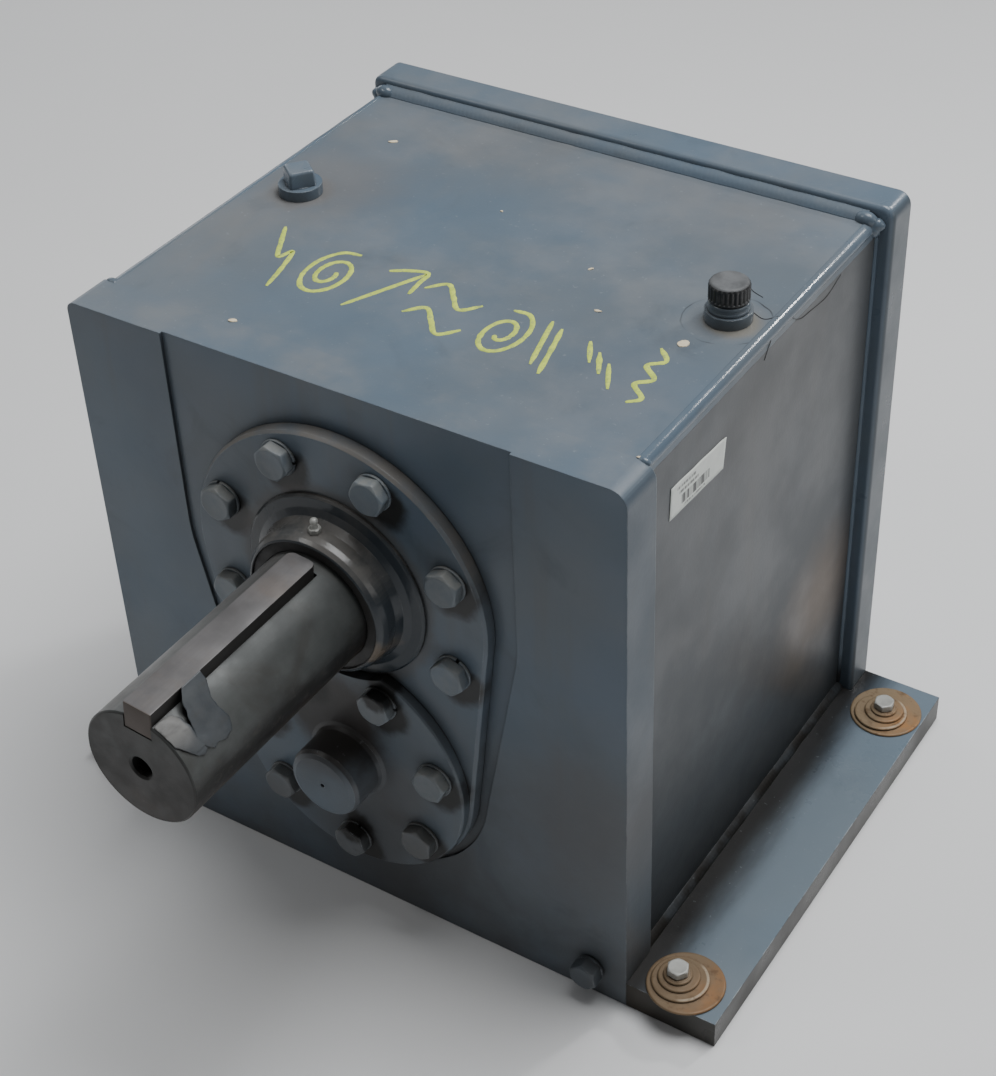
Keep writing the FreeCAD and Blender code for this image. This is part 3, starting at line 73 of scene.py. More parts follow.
BREATHER = middle("breather_cap")
PLUG = middle("fill_plug")
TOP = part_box("top_plate")[HIGH][Z]
BASE_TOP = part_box("base_plate")[HIGH][Z]
FITTING_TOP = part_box("fitting_bosses")[HIGH][Z]
BODY_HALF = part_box("right_side_plate")[HIGH][X]
FRONT_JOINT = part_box("top_plate")[LOW][Y]
FRONT_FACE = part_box("front_plate")[LOW][Y]
FRONT_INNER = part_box("front_plate")[HIGH][Y]
REAR_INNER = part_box("rear_plate")[LOW][Y]
COVER_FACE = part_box("front_cover")[LOW][Y]
CAP_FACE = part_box("lower_cap_gasket")[LOW][Y] - 0.0093
BOSS_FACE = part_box("lower_bearing_cap")[LOW][Y]
REAR_CAP_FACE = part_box("output_rear_cap")[HIGH][Y]
SHAFT_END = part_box("output_shaft")[LOW][Y]
KEY_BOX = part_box("output_key")
LABEL_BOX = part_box("side_label")
AXIS = {joint["name"]: Vector(joint["pos_m"]) for joint in frame["joints"]}
OUTPUT = AXIS["output_turn"]
LOWER = AXIS["intermediate_turn"]
INPUT = AXIS["input_turn"]
COVER_BOLTS = [polar(OUTPUT, 0.118, -22.5 + 45 * number, COVER_FACE) for number in range(6)]
CAP_BOLTS = [polar(LOWER, 0.0925, -90 + 360 * number / 7, CAP_FACE) for number in range(7)]

# Each foot bolt stands on four washers: their (outer, inner) radii and how far each one has slid.
FOOT_WASHERS = ((0.034, 0.0142), (0.0251, 0.0092), (0.0184, 0.007), (0.0127, 0.0066))
FOOT_WASHER_THICK = 0.0026
FOOT_FLATS = 0.0175
FRONT_SLIDES = ((0.0082, -0.0005), (0.003, -0.0009), (0.0012, 0), (0.0004, -0.0004))
REAR_SLIDES = ((0.0015, 0.0027), (-0.0016, -0.0026), (0.0006, -0.0004), (0.0003, -0.0003))
FOOT_STACKS = ((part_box("foot_bolts")[LOW][Y] + FOOT_FLATS / 2, 0.2955, FRONT_SLIDES),
               (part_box("foot_bolts")[HIGH][Y] - FOOT_FLATS / 2, 0.308, REAR_SLIDES))

LABEL_DROP = 0.0056

# ---------------------------------------------------------------- camera, light and floor

CAMERA_PLACE = (0.8343, -1.2379, 1.4263)
CAMERA_AZIMUTH = radians(34.24)
CAMERA_ELEVATION = radians(38.26)
CAMERA_ROLL = radians(-2.64)
CAMERA_LENS = 69.87
CAMERA_SENSOR = 36

DAYLIGHT = (0.97, 0.985, 1.0)
LIGHTS = (  # name, place, size, power and colour
    ("overhead", (0.5, 0.5, 3.0), 1.9, 84, DAYLIGHT),
    ("right_fill", (3.0, 0.7, 1.5), 1.8, 10, (1.0, 0.97, 0.93)),
    ("upper_left", (-1.7, -1.5, 2.7), 0.9, 11, (1.0, 0.99, 0.97)),
    ("left_fill", (-3.0, 1.6, 1.4), 1.8, 14, DAYLIGHT),
    ("edge_glint", (1.2, 2.6, 2.4), 0.35, 26, (1.0, 1.0, 1.0)),
)
LIT_POINT = Vector((0, 0, 0.3))
FLOOR_HALF = 12


def show(name, data):
    """A new object in the scene."""
    thing = bpy.data.objects.new(name, data)
    bpy.context.scene.collection.objects.link(thing)
    return thing


def make_camera():
    data = bpy.data.cameras.new("camera")
    data.lens = CAMERA_LENS
    data.sensor_width = CAMERA_SENSOR
    data.clip_end = 50
    camera = show("camera", data)
    tilt = radians(90) - CAMERA_ELEVATION
    turn = Matrix.Rotation(CAMERA_AZIMUTH, 4, "Z") @ Matrix.Rotation(tilt, 4, "X")
    camera.matrix_world = Matrix.Translation(CAMERA_PLACE) @ turn @ Matrix.Rotation(CAMERA_ROLL, 4, "Z")
    bpy.context.scene.camera = camera


def make_studio():
    world = bpy.data.worlds.new("studio")
    world.use_nodes = True
    background = world.node_tree.nodes["Background"]
    background.inputs["Color"].default_value = (0.93, 0.96, 1.0, 1)
    background.inputs["Strength"].default_value = 0.125
    bpy.context.scene.world = world
    for name, place, size, power, colour in LIGHTS:
        data = bpy.data.lights.new(name, "AREA")
        data.shape = "DISK"
        data.size = size
        data.energy = power
        data.color = colour
        light = show(name, data)
        light.location = place
        light.rotation_euler = (Vector(place) - LIT_POINT).to_track_quat("Z", "Y").to_euler()
    mesh = bpy.data.meshes.new("floor")
    corners = ((-1, -1), (1, -1), (1, 1), (-1, 1))
    mesh.from_pydata([(x * FLOOR_HALF, y * FLOOR_HALF, 0) for x, y in corners], [], [(0, 1, 2, 3)])
    floor = show("floor", mesh)
    floor.location.z = -0.0005
    finish = Finish("pale_floor", (0.80, 0.80, 0.80), (0.84, 0.84, 0.84))
    finish.start(finish.noise(3))
    mesh.materials.append(finish.done(0.9, shine=0.1))


# ---------------------------------------------------------------- procedural finishes

UPRIGHT = (1, 1, 0)
ALONG_Y = (1, 0, 1)


def operator(operation, swapped=False):
    """A method of Value that adds a Math node."""
    def method(self, other=0.0):
        first, second = (other, self) if swapped else (self, other)
        return self.finish.math(operation, first, second)
    return method


class Value:
    """What nodes work out at each point: + - * < > and abs() add Math nodes."""

    def __init__(self, finish, socket):
        self.finish = finish
        self.socket = socket

    __add__ = operator("ADD")
    __sub__ = operator("SUBTRACT")
    __rsub__ = operator("SUBTRACT", swapped=True)
    __mul__ = operator("MULTIPLY")
    __lt__ = operator("LESS_THAN")
    __gt__ = operator("GREATER_THAN")
    __abs__ = operator("ABSOLUTE")

    def step(self, low, high, first=0.0, last=1.0, kind="SMOOTHSTEP"):
        """Between low and high, a smooth step from first to last."""
        limits = {"Value": self, "From Min": low, "From Max": high, "To Min": first, "To Max": last}
        return self.finish.add("MapRange", "Result", limits, interpolation_type=kind)


class Finish:
    """A material that is built up in layers of colour from nodes, in the object's own metres."""

    def __init__(self, name, first, second):
        self.material = bpy.data.materials.new(name)
        self.material.use_nodes = True
        self.nodes = self.material.node_tree.nodes
        self.nodes.clear()
        self.shader = self.nodes.new("ShaderNodeBsdfPrincipled")
        output = self.nodes.new("ShaderNodeOutputMaterial")
        self.put(self.shader.outputs["BSDF"], output.inputs["Surface"])
        self.place = self.add("TexCoord", "Object")
        self.normal = self.add("NewGeometry", "Normal")
        self.x, self.y, self.z = self.split(self.place)
        self.facing_x, _, self.facing_z = self.split(self.add("NewGeometry", "True Normal"))
        self.first, self.second = first, second

    def put(self, source, socket):
        """Gives a socket a number, a colour or another node's output."""
        if isinstance(source, Value):
            source = source.socket
        if isinstance(source, bpy.types.NodeSocket):
            self.material.node_tree.links.new(source, socket)
        elif socket.type == "RGBA":
            socket.default_value = (*source, 1)
        else:
            socket.default_value = source

    def add(self, kind, output, inputs=None, **settings):
        """One output of a new node."""
        node = self.nodes.new("ShaderNode" + kind)
        for key, setting in settings.items():
            setattr(node, key, setting)
        for name, source in (inputs or {}).items():
            self.put(source, node.inputs[name])
        return Value(self, node.outputs[output])

    def split(self, vector):
        node = self.nodes.new("ShaderNodeSeparateXYZ")
        self.put(vector, node.inputs[0])
        return [Value(self, output) for output in node.outputs]

    def math(self, operation, first, second):
        return self.add("Math", 0, {0: first, 1: second}, operation=operation)

    def start(self, factor):
        """The first layer, between the finish's two main colours."""
        self.colour = self.first
        self.lay(self.second, factor)

    def lay(self, tint, factor):
        """A further layer, as strong as the factor is at each point."""
        self.colour = self.add("Mix", 2, {"Factor": factor, 6: self.colour, 7: tint}, data_type="RGBA")

    def done(self, rough, normal=None, metal=0.0, shine=0.5):
        inputs = {"Base Color": self.colour, "Roughness": rough, "Metallic": metal,
                  "Specular IOR Level": shine}
        if normal:
            inputs["Normal"] = normal
        for name, source in inputs.items():
            self.put(source, self.shader.inputs[name])
        return self.material

    def noise(self, scale, detail=3.0, rough=0.55, stretch=(1, 1, 1), shift=(0, 0, 0), warp=0.0):
        place = self.add("Mapping", 0, {"Vector": self.place, "Scale": stretch, "Location": shift})
        return self.add("TexNoise", "Fac", {"Vector": place, "Scale": scale, "Detail": detail,
                                            "Roughness": rough, "Distortion": warp})

    def ragged(self, depth, *noise_settings, **more):
        """Noise about zero, to roughen the outline of a mark."""
        return (self.noise(*noise_settings, **more) - 0.5) * depth

    def distance(self, point, flatten):
        """The distance from a point, or from a line where one axis is flattened."""
        shifted = self.add("VectorMath", 0, {0: self.place, 1: point}, operation="SUBTRACT")
        flat = self.add("VectorMath", 0, {0: shifted, 1: flatten}, operation="MULTIPLY")
        return self.add("VectorMath", "Value", {0: flat}, operation="LENGTH")

    def stain(self, tint, strength, centre, radius, soft, flatten=UPRIGHT, ragged=0.012):
        """A ragged round stain about a line through centre."""
        spread = self.distance(centre, flatten) + self.ragged(ragged, 38, 4)
        self.lay(tint, spread.step(radius, radius - soft) * strength)

    def crevice(self, reach):
        """1 deep in a corner, 0 in the open."""
        return 1.0 - self.add("AmbientOcclusion", "AO", {"Distance": reach}, samples=5)

    def rounded(self, radius):
        """The normal of a surface whose edges are rounded."""
        return self.add("Bevel", "Normal", {"Radius": radius}, samples=4)

    def flush(self, rounded_normal):
        """Keeps the plain normal beside the front joint of the top, which is ground flush."""
        beside = (abs(self.y - FRONT_JOINT) < 0.004) * (self.z > TOP - 0.0015)
        return self.add("Mix", 1, {"Factor": beside, 4: rounded_normal, 5: self.normal}, data_type="VECTOR")

    def edge(self, rounded_normal):
        """1 on an edge, 0 on a flat."""
        match = self.add("VectorMath", "Value", {0: rounded_normal, 1: self.normal}, operation="DOT_PRODUCT")
        return match.step(0.99, 0.86)

    def bump(self, height, depth, normal=None, strength=1.0):
        inputs = {"Height": height, "Distance": depth, "Strength": strength}
        if normal:
            inputs["Normal"] = normal
        return self.add("Bump", "Normal", inputs)


PAINT_COOL = (0.100, 0.138, 0.180)
PAINT_WARM = (0.116, 0.140, 0.164)
PAINT_DARK = (0.046, 0.062, 0.080)
PAINT_WORN = (0.30, 0.33, 0.35)
DUST = (0.24, 0.225, 0.20)
GRIME = (0.040, 0.034, 0.028)
OIL = (0.018, 0.016, 0.014)
# Near black for fresh oil, and for painted shadow below bolt heads.
FRESH_OIL_AND_SHADOW = (0.012, 0.011, 0.010)
# Baked oil, also used for the painted shadow of the shaft on the lower cap.
BAKED_OIL_AND_SHADOW = (0.030, 0.023, 0.018)


def scaled(colour, factor):
    return tuple(min(1, factor * part) for part in colour)


def paint(name, dust=0.35, grime=0.75, wear=0.5, gloss=0.36, tone=1.0, marks=None, flush_joint=False,
          bare=PAINT_WORN, wavy=1.0, shine=0.5):
    """Blue-grey enamel with dust on top, grime in its corners and bright worn edges."""
    finish = Finish(name, scaled(PAINT_COOL, tone), scaled(PAINT_WARM, tone))
    finish.start(finish.noise(5, 4).step(0.35, 0.65))
    blotch = finish.noise(11, 5, 0.6, shift=(3, 1, 2), warp=0.6).step(0.56, 0.74)
    finish.lay(scaled(PAINT_DARK, tone), blotch * 0.35)
    up_facing = finish.facing_z.step(0.3, 0.95)
    powder = up_facing * finish.noise(9, 6, 0.62, shift=(7, 0, 5)).step(0.4, 0.72)
    finish.lay(DUST, powder * dust)
    runs = finish.noise(24, 4, 0.6, stretch=(1, 1, 0.09), shift=(1, 5, 0)).step(0.52, 0.72)
    finish.lay((0.115, 0.108, 0.098), runs * (1.0 - up_facing) * 0.28)
    if marks:
        marks(finish)
    specks = finish.noise(260, 2, 0.5).step(0.69, 0.76)
    finish.lay(PAINT_WORN, specks * up_facing * 0.22)
    hollow = finish.crevice(0.035)
    dirt = hollow.step(0.28, 0.85) * finish.noise(60, 3).step(0.3, 0.7, 0.55, 1.0) * grime
    finish.lay(GRIME, dirt)
    rounded = finish.rounded(0.0013)
    if flush_joint:
        rounded = finish.flush(rounded)
    scuffs = finish.noise(45, 4, 0.65).step(0.42, 0.62) * wear
    finish.lay(bare, finish.edge(rounded) * hollow.step(0.35, 0.15) * scuffs)
    rough = finish.noise(14, 4).step(0.3, 0.7, gloss - 0.05, gloss + 0.11) + powder * 0.16 + dirt * 0.25
    skin = finish.bump(finish.noise(330, 2, 0.5), 0.00022, rounded, 0.35)
    return finish.done(rough, finish.bump(finish.noise(22, 3), 0.0016 * wavy, skin, 0.22), shine=shine)


def steel(name, tone, rough, metal=0.75, grain=(1, 1, 1), grain_scale=300.0, stain=0.4, stain_tone=OIL,
          marks=None):
    """Bare steel with fine tool marks along one axis, oil stains and rounded edges."""
    darker = scaled(tone, 0.72)
    finish = Finish(name, tone, darker)
    finish.start(finish.noise(28, 5, 0.6).step(0.35, 0.65))
    film = finish.noise(17, 5, 0.65, shift=(2, 9, 4), warp=0.8).step(0.48, 0.70)
    finish.lay(stain_tone, film * stain)
    rounded = finish.rounded(0.0006)
    lines = finish.noise(grain_scale, 2, 0.5, stretch=grain)
    finish.lay(darker, lines.step(0.35, 0.65) * 0.22)
    finish.lay(OIL, finish.crevice(0.012).step(0.3, 0.9) * 0.7)
    finish.lay(scaled(tone, 1.7), finish.edge(rounded) * 0.35)
    if marks:
        marks(finish)
    rough = finish.noise(40, 4).step(0.3, 0.7, rough - 0.06, rough + 0.1)
    return finish.done(rough, finish.bump(lines, 0.00012, rounded, 0.4), metal)


# ---------------------------------------------------------------- marks on single pieces


def oil_and_shadow_near(finish, places, shift, outer, inner, strength, depth, scale):
    """Near black about each of several lines along Y, a little to one side of them: fresh oil, and painted
    shadow below bolt heads.
    """
    closest = 1.0
    for place in places:
        closest = finish.math("MINIMUM", finish.distance(place + Vector(shift), ALONG_Y), closest)
    finish.lay(FRESH_OIL_AND_SHADOW, (closest + finish.ragged(depth, scale, 4)).step(outer, inner, 0.0, strength))


def bolt_shadows_and_oil(finish, places):
    """Painted shadow below and to one side of each bolt head, with dark oil that has crept out."""
    oil_and_shadow_near(finish, places, (0.005, 0, -0.010), 0.028, 0.017, 0.96, 0.014, 60)


def oil_spots(finish):
    """Black oil over the tops of two of the lower cap's bolts."""
    oil_and_shadow_near(finish, (CAP_BOLTS[0], CAP_BOLTS[3]), (0.004, 0, 0.016), 0.017, 0.010, 0.95, 0.016, 70)


def top_marks(finish):
    """Stains round the breather and the plug, a wiped ring, and patches of warmer and cooler paint."""
    beside = (BREATHER.x, BREATHER.y - 0.002, 0)
    finish.stain((0.15, 0.165, 0.18), 0.45, beside, 0.036, 0.006, ragged=0.008)
    finish.stain((0.20, 0.175, 0.13), 0.6, (BREATHER.x + 0.006, BREATHER.y - 0.004, 0), 0.027, 0.010)
    rim = abs(finish.distance(beside, UPRIGHT) + finish.ragged(0.014, 16, 3) - 0.036)
    broken = finish.noise(21, 2, shift=(4, 4, 4)).step(0.42, 0.60)
    finish.lay(OIL, rim.step(0.0009, 0.00027) * broken * 0.8)
    finish.stain((0.15, 0.14, 0.13), 0.45, (PLUG.x, PLUG.y, 0), 0.036, 0.014)
    finish.stain((0.165, 0.145, 0.125), 0.5, (-0.19, 0.03, 0), 0.10, 0.08, ragged=0.03)
    finish.stain((0.085, 0.112, 0.145), 0.5, (0.19, -0.11, 0), 0.09, 0.07, ragged=0.03)
    streak = finish.noise(7, 5, 0.62, stretch=(1, 0.25, 1), shift=(0, 3, 1)).step(0.52, 0.72)
    finish.lay((0.17, 0.155, 0.135), streak * 0.30)
    haze = finish.y.step(0.02, 0.19) * finish.noise(6, 4, shift=(5, 5, 5)).step(0.42, 0.65)
    finish.lay((0.155, 0.145, 0.135), haze * 0.35)


def base_marks(finish):
    """Grime that thins out from the wall, a paler blue over the flange's outer part, and rust and painted
    shade on the faces that don't face up.
    """
    reach = abs(finish.x) + finish.ragged(0.035, 15, 5, 0.65, stretch=(1, 0.3, 1))
    finish.lay((0.20, 0.255, 0.300), reach.step(BODY_HALF + 0.020, BODY_HALF + 0.050, 0.0, 0.45))
    finish.lay((0.012, 0.010, 0.008), reach.step(BODY_HALF + 0.055, BODY_HALF + 0.014, 0.0, 0.93))
    # Rust and painted shade: darker on the faces that don't face up.
    finish.lay((0.036, 0.029, 0.020), finish.facing_z.step(0.6, 0.3) * 0.9)


def side_shade_and_reflection(finish):
    """Painted shade towards the foot, most on the right side, and a brown painted reflection at the rear."""
    finish.lay((0.089, 0.0875, 0.085), finish.noise(4, 3, shift=(1, 2, 8)).step(0.40, 0.62, 0.64, 0.74))
    # Painted shade: darker towards the foot, more on the right side than on the left.
    right = finish.x.step(-0.1, 0.1, 0.6, 1.0)
    height = finish.z + finish.ragged(0.05, 5, 2, 0.5)
    finish.lay((0.014, 0.019, 0.024), height.step(0.40, 0.12, 0.0, 0.78) * right)
    # A warm painted reflection towards the rear of the side.
    finish.stain((0.205, 0.148, 0.102), 0.55, (BODY_HALF, 0.135, 0.190), 0.082, 0.080, (1, 0.8, 0.85), 0.03)


def rear_side_shade(finish):
    """The rear plate's upright side faces are darker than its top: painted shade."""
    finish.lay((0.05, 0.056, 0.058), abs(finish.facing_x).step(0.5, 0.9) * 0.62)


def bolt_marks(finish):
    """Pale dust and a painted highlight, thickest on the flats that face up, and brown dirt on the lowest
    bolts.
    """
    # Dust and a painted highlight on the up-facing flats.
    up_facing = finish.facing_z.step(0.1, 0.7, 0.28, 0.85)
    finish.lay((0.27, 0.27, 0.25), up_facing * finish.noise(90, 4, 0.6).step(0.3, 0.65, 0.4, 1.0))
    finish.lay((0.070, 0.064, 0.058), finish.z.step(LOWER.z + 0.02, LOWER.z - 0.07, 0.0, 0.6))
    oil_spots(finish)


def front_marks(finish):
    """Painted shade on the side faces, darker towards the foot, and old oil round the lower cap."""
    # Painted shade: the faces that face sideways darker.
    finish.lay((0.034, 0.042, 0.050), abs(finish.facing_x).step(0.6, 0.9) * 0.5)
    below = finish.z.step(0.16, 0.0)
    finish.lay(GRIME, below * finish.noise(9, 5, 0.6).step(0.3, 0.7, 0.25, 1.0) * 0.65)
    finish.stain((0.070, 0.055, 0.043), 0.5, (0.22, 0, 0.20), 0.10, 0.08, (1, 0, 0.7), 0.03)
    finish.stain((0.055, 0.052, 0.05), 0.55, (LOWER.x, LOWER.y, LOWER.z - 0.04), 0.175, 0.10,
                 (1, 0, 0.85), 0.06)


def key_marks(finish):
    """Painted shade and black grease on the key's right side face, and a rusty front end."""
    # Painted shade and grease: near black where the key faces right.
    finish.lay((0.008, 0.007, 0.006), finish.facing_x.step(0.5, 0.9, 0, 0.95))
    end = KEY_BOX[LOW][Y]
    finish.lay((0.092, 0.066, 0.050), finish.y.step(end + 0.0012, end) * 0.7)


def shaft_marks(finish):
    """Near black over the half of the shaft below its axis, brown rust and crumbs of dirt, a painted
    highlight on its upper left side, and a dull end face.
    """
    level = finish.z + finish.ragged(0.045, 30, 5, 0.65, stretch=(1, 0.6, 1))
    finish.lay((0.009, 0.008, 0.007), level.step(OUTPUT.z + 0.016, OUTPUT.z - 0.008, 0.0, 0.95))
    finish.lay((0.055, 0.033, 0.020), level.step(OUTPUT.z - 0.014, OUTPUT.z - 0.034) * 0.45)
    crumbs = level.step(OUTPUT.z + 0.020, OUTPUT.z + 0.004) * finish.noise(130, 4, 0.7).step(0.55, 0.66)
    finish.lay((0.062, 0.056, 0.048), crumbs * 0.5)
    # Painted highlight on the shaft's upper left side.
    painted_highlight_side = finish.facing_x.step(-0.2, -0.6) * finish.facing_z.step(0.3, 0.6)
    finish.lay((0.21, 0.20, 0.195), painted_highlight_side * 0.4)
    face = finish.y.step(SHAFT_END + 0.0012, SHAFT_END + 0.0004)
    finish.lay((0.036, 0.034, 0.032), face * finish.noise(55, 4).step(0.3, 0.7, 0.4, 0.95))


def seal_marks(finish):
    """Brown dust and a painted highlight on the housing's upper side, and rust low down beside the shaft."""
    # Dust and a painted highlight on the up-facing side.
    dusty = finish.facing_z.step(0.25, 0.8) * finish.noise(28, 4, 0.6).step(0.32, 0.55, 0.35, 1.0)
    finish.lay((0.19, 0.178, 0.162), dusty * 0.7)
    spot = (OUTPUT.x + 0.052, OUTPUT.y, OUTPUT.z - 0.022)
    finish.stain((0.20, 0.15, 0.10), 0.7, spot, 0.017, 0.010, ALONG_Y)


def cap_marks(finish):
    """Old oil round the boss, with painted shadow of the shaft over the upper half; painted shadow and oil
    below the bolts; the boss's face is cleaner.
    """
    clean = finish.colour
    for tint, strength, right, above, radius, soft, flatten in (
            # Old oil and the painted shadow of the shaft, above the boss.
            (BAKED_OIL_AND_SHADOW, 0.9, -0.012, 0.046, 0.064, 0.03, ALONG_Y),
            ((0.06, 0.042, 0.03), 0.4, 0.045, -0.015, 0.05, 0.03, ALONG_Y),
            ((0.052, 0.046, 0.041), 0.6, 0.01, -0.08, 0.075, 0.05, (0.8, 0, 1))):
        finish.stain(tint, strength, LOWER + Vector((right, 0, above)), radius, soft, flatten, 0.03)
    bolt_shadows_and_oil(finish, CAP_BOLTS)
    oil_spots(finish)
    lower_face = finish.z.step(LOWER.z + 0.036, LOWER.z + 0.004, 0.1, 0.66)
    finish.lay(clean, (finish.y < BOSS_FACE + 0.0025) * lower_face)


def weld_marks(finish):
    """Brown grime on the beads along the foot."""
    low = finish.z.step(BASE_TOP + 0.05, BASE_TOP + 0.008)
    finish.lay((0.009, 0.008, 0.007), low * finish.noise(30, 4, 0.6).step(0.3, 0.6, 0.8, 1.0))


def cover_marks(finish):
    """Painted shadow and oil below the bolts, dust on the rim, and a brown stain round the seal housing."""
    bolt_shadows_and_oil(finish, COVER_BOLTS + CAP_BOLTS)
    rim = finish.facing_z.step(0.15, 0.55) * finish.noise(26, 4).step(0.3, 0.6, 0.25, 0.8)
    finish.lay((0.20, 0.180, 0.155), rim)
    finish.stain((0.09, 0.078, 0.066), 0.5, OUTPUT, 0.1, 0.012, ALONG_Y, 0.02)


# ---------------------------------------------------------------- the finishes themselves

PAINT = paint("housing_enamel")
PAINT_TOP = paint("top_enamel", dust=0.22, grime=0.55, marks=top_marks, flush_joint=True)
# The flange's pale bare colour at its edges is wear and a painted highlight.
PAINT_BASE = paint("base_enamel", dust=0.12, grime=0.5, wear=1.0, gloss=0.30, tone=1.05, marks=base_marks,
                   bare=(0.52, 0.55, 0.58), shine=0.25)
# The side plates' enamel is a darker copy of the same paint (tone 0.71): painted shade.
PAINT_SIDE_SHADED = paint("side_enamel_shaded", grime=0.9, gloss=0.33, tone=0.71, marks=side_shade_and_reflection, wavy=0.2, shine=0.32)
PAINT_FRONT = paint("front_enamel", wear=0.55, marks=front_marks, flush_joint=True)
PAINT_COVER = paint("cover_enamel", grime=0.95, wear=1.0, marks=cover_marks)
PAINT_CAP = paint("cap_enamel", grime=0.95, wear=0.7, marks=cap_marks)
PAINT_GLOSS = paint("fitting_enamel", dust=0.3, grime=0.9, wear=0.8, gloss=0.16)
# The plug's enamel is a lighter copy of the same paint (tone 1.15): painted light.
PAINT_PLUG_LIT = paint("plug_enamel", dust=0.5, grime=0.95, wear=1.0, gloss=0.24, tone=1.15)
PAINT_DRAIN = paint("drain_enamel", dust=0.2, grime=0.95, gloss=0.4, tone=0.55)
PAINT_SEAL = paint("seal_housing_enamel", dust=0.6, grime=0.95, wear=0.6, gloss=0.17, tone=0.30,
                   marks=seal_marks, wavy=2.2, shine=0.42)
PAINT_BOLT = paint("bolt_enamel", dust=0.2, grime=0.9, wear=1.0, tone=1.1, marks=bolt_marks)
PAINT_WELD = paint("weld_enamel", grime=0.7, wear=0.3, gloss=0.40, tone=1.1, marks=weld_marks, shine=0.2)
PAINT_BEAD = paint("corner_weld_enamel", dust=0.1, grime=0.3, wear=0.2, gloss=0.13, wavy=0.3)
PAINT_REAR = paint("rear_enamel", dust=0.25, grime=0.6, gloss=0.30, tone=1.05, marks=rear_side_shade)
SHAFT = steel("shaft_steel", (0.079, 0.084, 0.082), 0.46, 0.25, (6, 0.2, 6), 90, 0.45, (0.040, 0.036, 0.030),
              marks=shaft_marks)
INPUT_STEEL = steel("input_shaft_steel", (0.15, 0.152, 0.150), 0.42, 0.4, (6, 0.2, 6), 90, 0.45,
                    (0.05, 0.042, 0.034))
KEY = steel("key_steel", (0.142, 0.136, 0.136), 0.52, 0.2, (4, 0.15, 4), 160, 0.4, (0.13, 0.095, 0.07),
            marks=key_marks)
BRIGHT = steel("bright_steel", (0.5, 0.5, 0.5), 0.3, 0.95, (1, 12, 1), 120, 0.2)
BEARING = steel("bearing_steel", (0.6, 0.6, 0.6), 0.2, 1.0, (1, 10, 1), 150, 0.12)
GEAR = steel("gear_steel", (0.42, 0.42, 0.42), 0.3, 0.95, (1, 0.1, 1), 240, 0.35)
ZINC = steel("zinc_steel", (0.47, 0.47, 0.44), 0.50, 0.35, (1, 1, 1), 260, 0.15, (0.3, 0.27, 0.2))


def plain_rubber():
    finish = Finish("seal_rubber", (0.02, 0.02, 0.02), (0.045, 0.042, 0.04))
    finish.start(finish.noise(80, 4))
    return finish.done(finish.noise(60).step(0.3, 0.7, 0.5, 0.7), finish.bump(finish.noise(400, 2), 0.0001))


def black_plastic():
    """The breather's cap: black, with grey dust lying on its top."""
    finish = Finish("black_plastic", (0.016, 0.016, 0.017), (0.11, 0.11, 0.11))
    finish.start(finish.noise(130, 4).step(0.5, 0.7) * 0.35)
    top = finish.facing_z.step(0.4, 0.9)
    finish.lay((0.125, 0.13, 0.135), top * finish.noise(70, 5, 0.6).step(0.25, 0.75, 0.45, 1.0))
    skin = finish.bump(finish.noise(500, 2), 0.0001, finish.rounded(0.0005))
    return finish.done(top.step(0, 1, 0.32, 0.6), skin)


def gasket_sheet():
    finish = Finish("gasket_sheet", (0.05, 0.045, 0.04), (0.10, 0.09, 0.075))
    finish.start(finish.noise(200, 4))
    return finish.done(0.85, finish.bump(finish.noise(600, 2), 0.0002))


def rusty_plate():
    """Yellow-plated washers: tan where dusty, orange where rust is coming through, with a painted highlight
    on a rim.
    """
    brown = (0.10, 0.052, 0.022)
    finish = Finish("rusty_washer", (0.215, 0.155, 0.090), (0.36, 0.165, 0.050))
    bloom = finish.noise(42, 5, 0.6).step(0.35, 0.65, 0.15, 0.85)
    finish.start(abs(finish.x).step(0.300, 0.335) * bloom)
    finish.lay(brown, finish.y.step(0.05, -0.05, 0.0, 0.35))
    # Painted highlight: a cream arc on the outer half of the second washer's rim in each stack.
    for along, across, slides in FOOT_STACKS:
        x, y = across + slides[1][0], along + slides[1][1]
        rim = abs(finish.distance((x, y, 0), UPRIGHT) - (FOOT_WASHERS[1][0] - 0.0016))
        painted_highlight_half = finish.x.step(x + 0.006, x + 0.014)
        finish.lay((0.55, 0.46, 0.34), rim.step(0.0016, 0.0008) * painted_highlight_half * 0.5)
    finish.lay(brown, finish.noise(120, 5, 0.65, shift=(3, 3, 3)).step(0.52, 0.68) * 0.65)
    finish.lay((0.035, 0.022, 0.014), finish.crevice(0.006).step(0.25, 0.8, 0, 0.85))
    rounded = finish.rounded(0.0005)
    finish.lay((0.62, 0.5, 0.36), finish.edge(rounded) * 0.4)
    rough = finish.noise(90, 4).step(0.3, 0.7, 0.42, 0.68)
    return finish.done(rough, finish.bump(finish.noise(300, 4), 0.0003, rounded, 0.5), 0.15)


# The label's rows: bottom and top in metres, start and end as shares of its length, scale of the bars, ink.
LABEL_ROWS = ((0.0215, 0.0240, 0.05, 0.44, 500, 0.75), (0.0165, 0.0190, 0.08, 0.52, 430, 0.75),
              (0.0055, 0.0140, 0.12, 0.80, 560, 0.92), (0.0022, 0.0040, 0.16, 0.70, 520, 0.7))


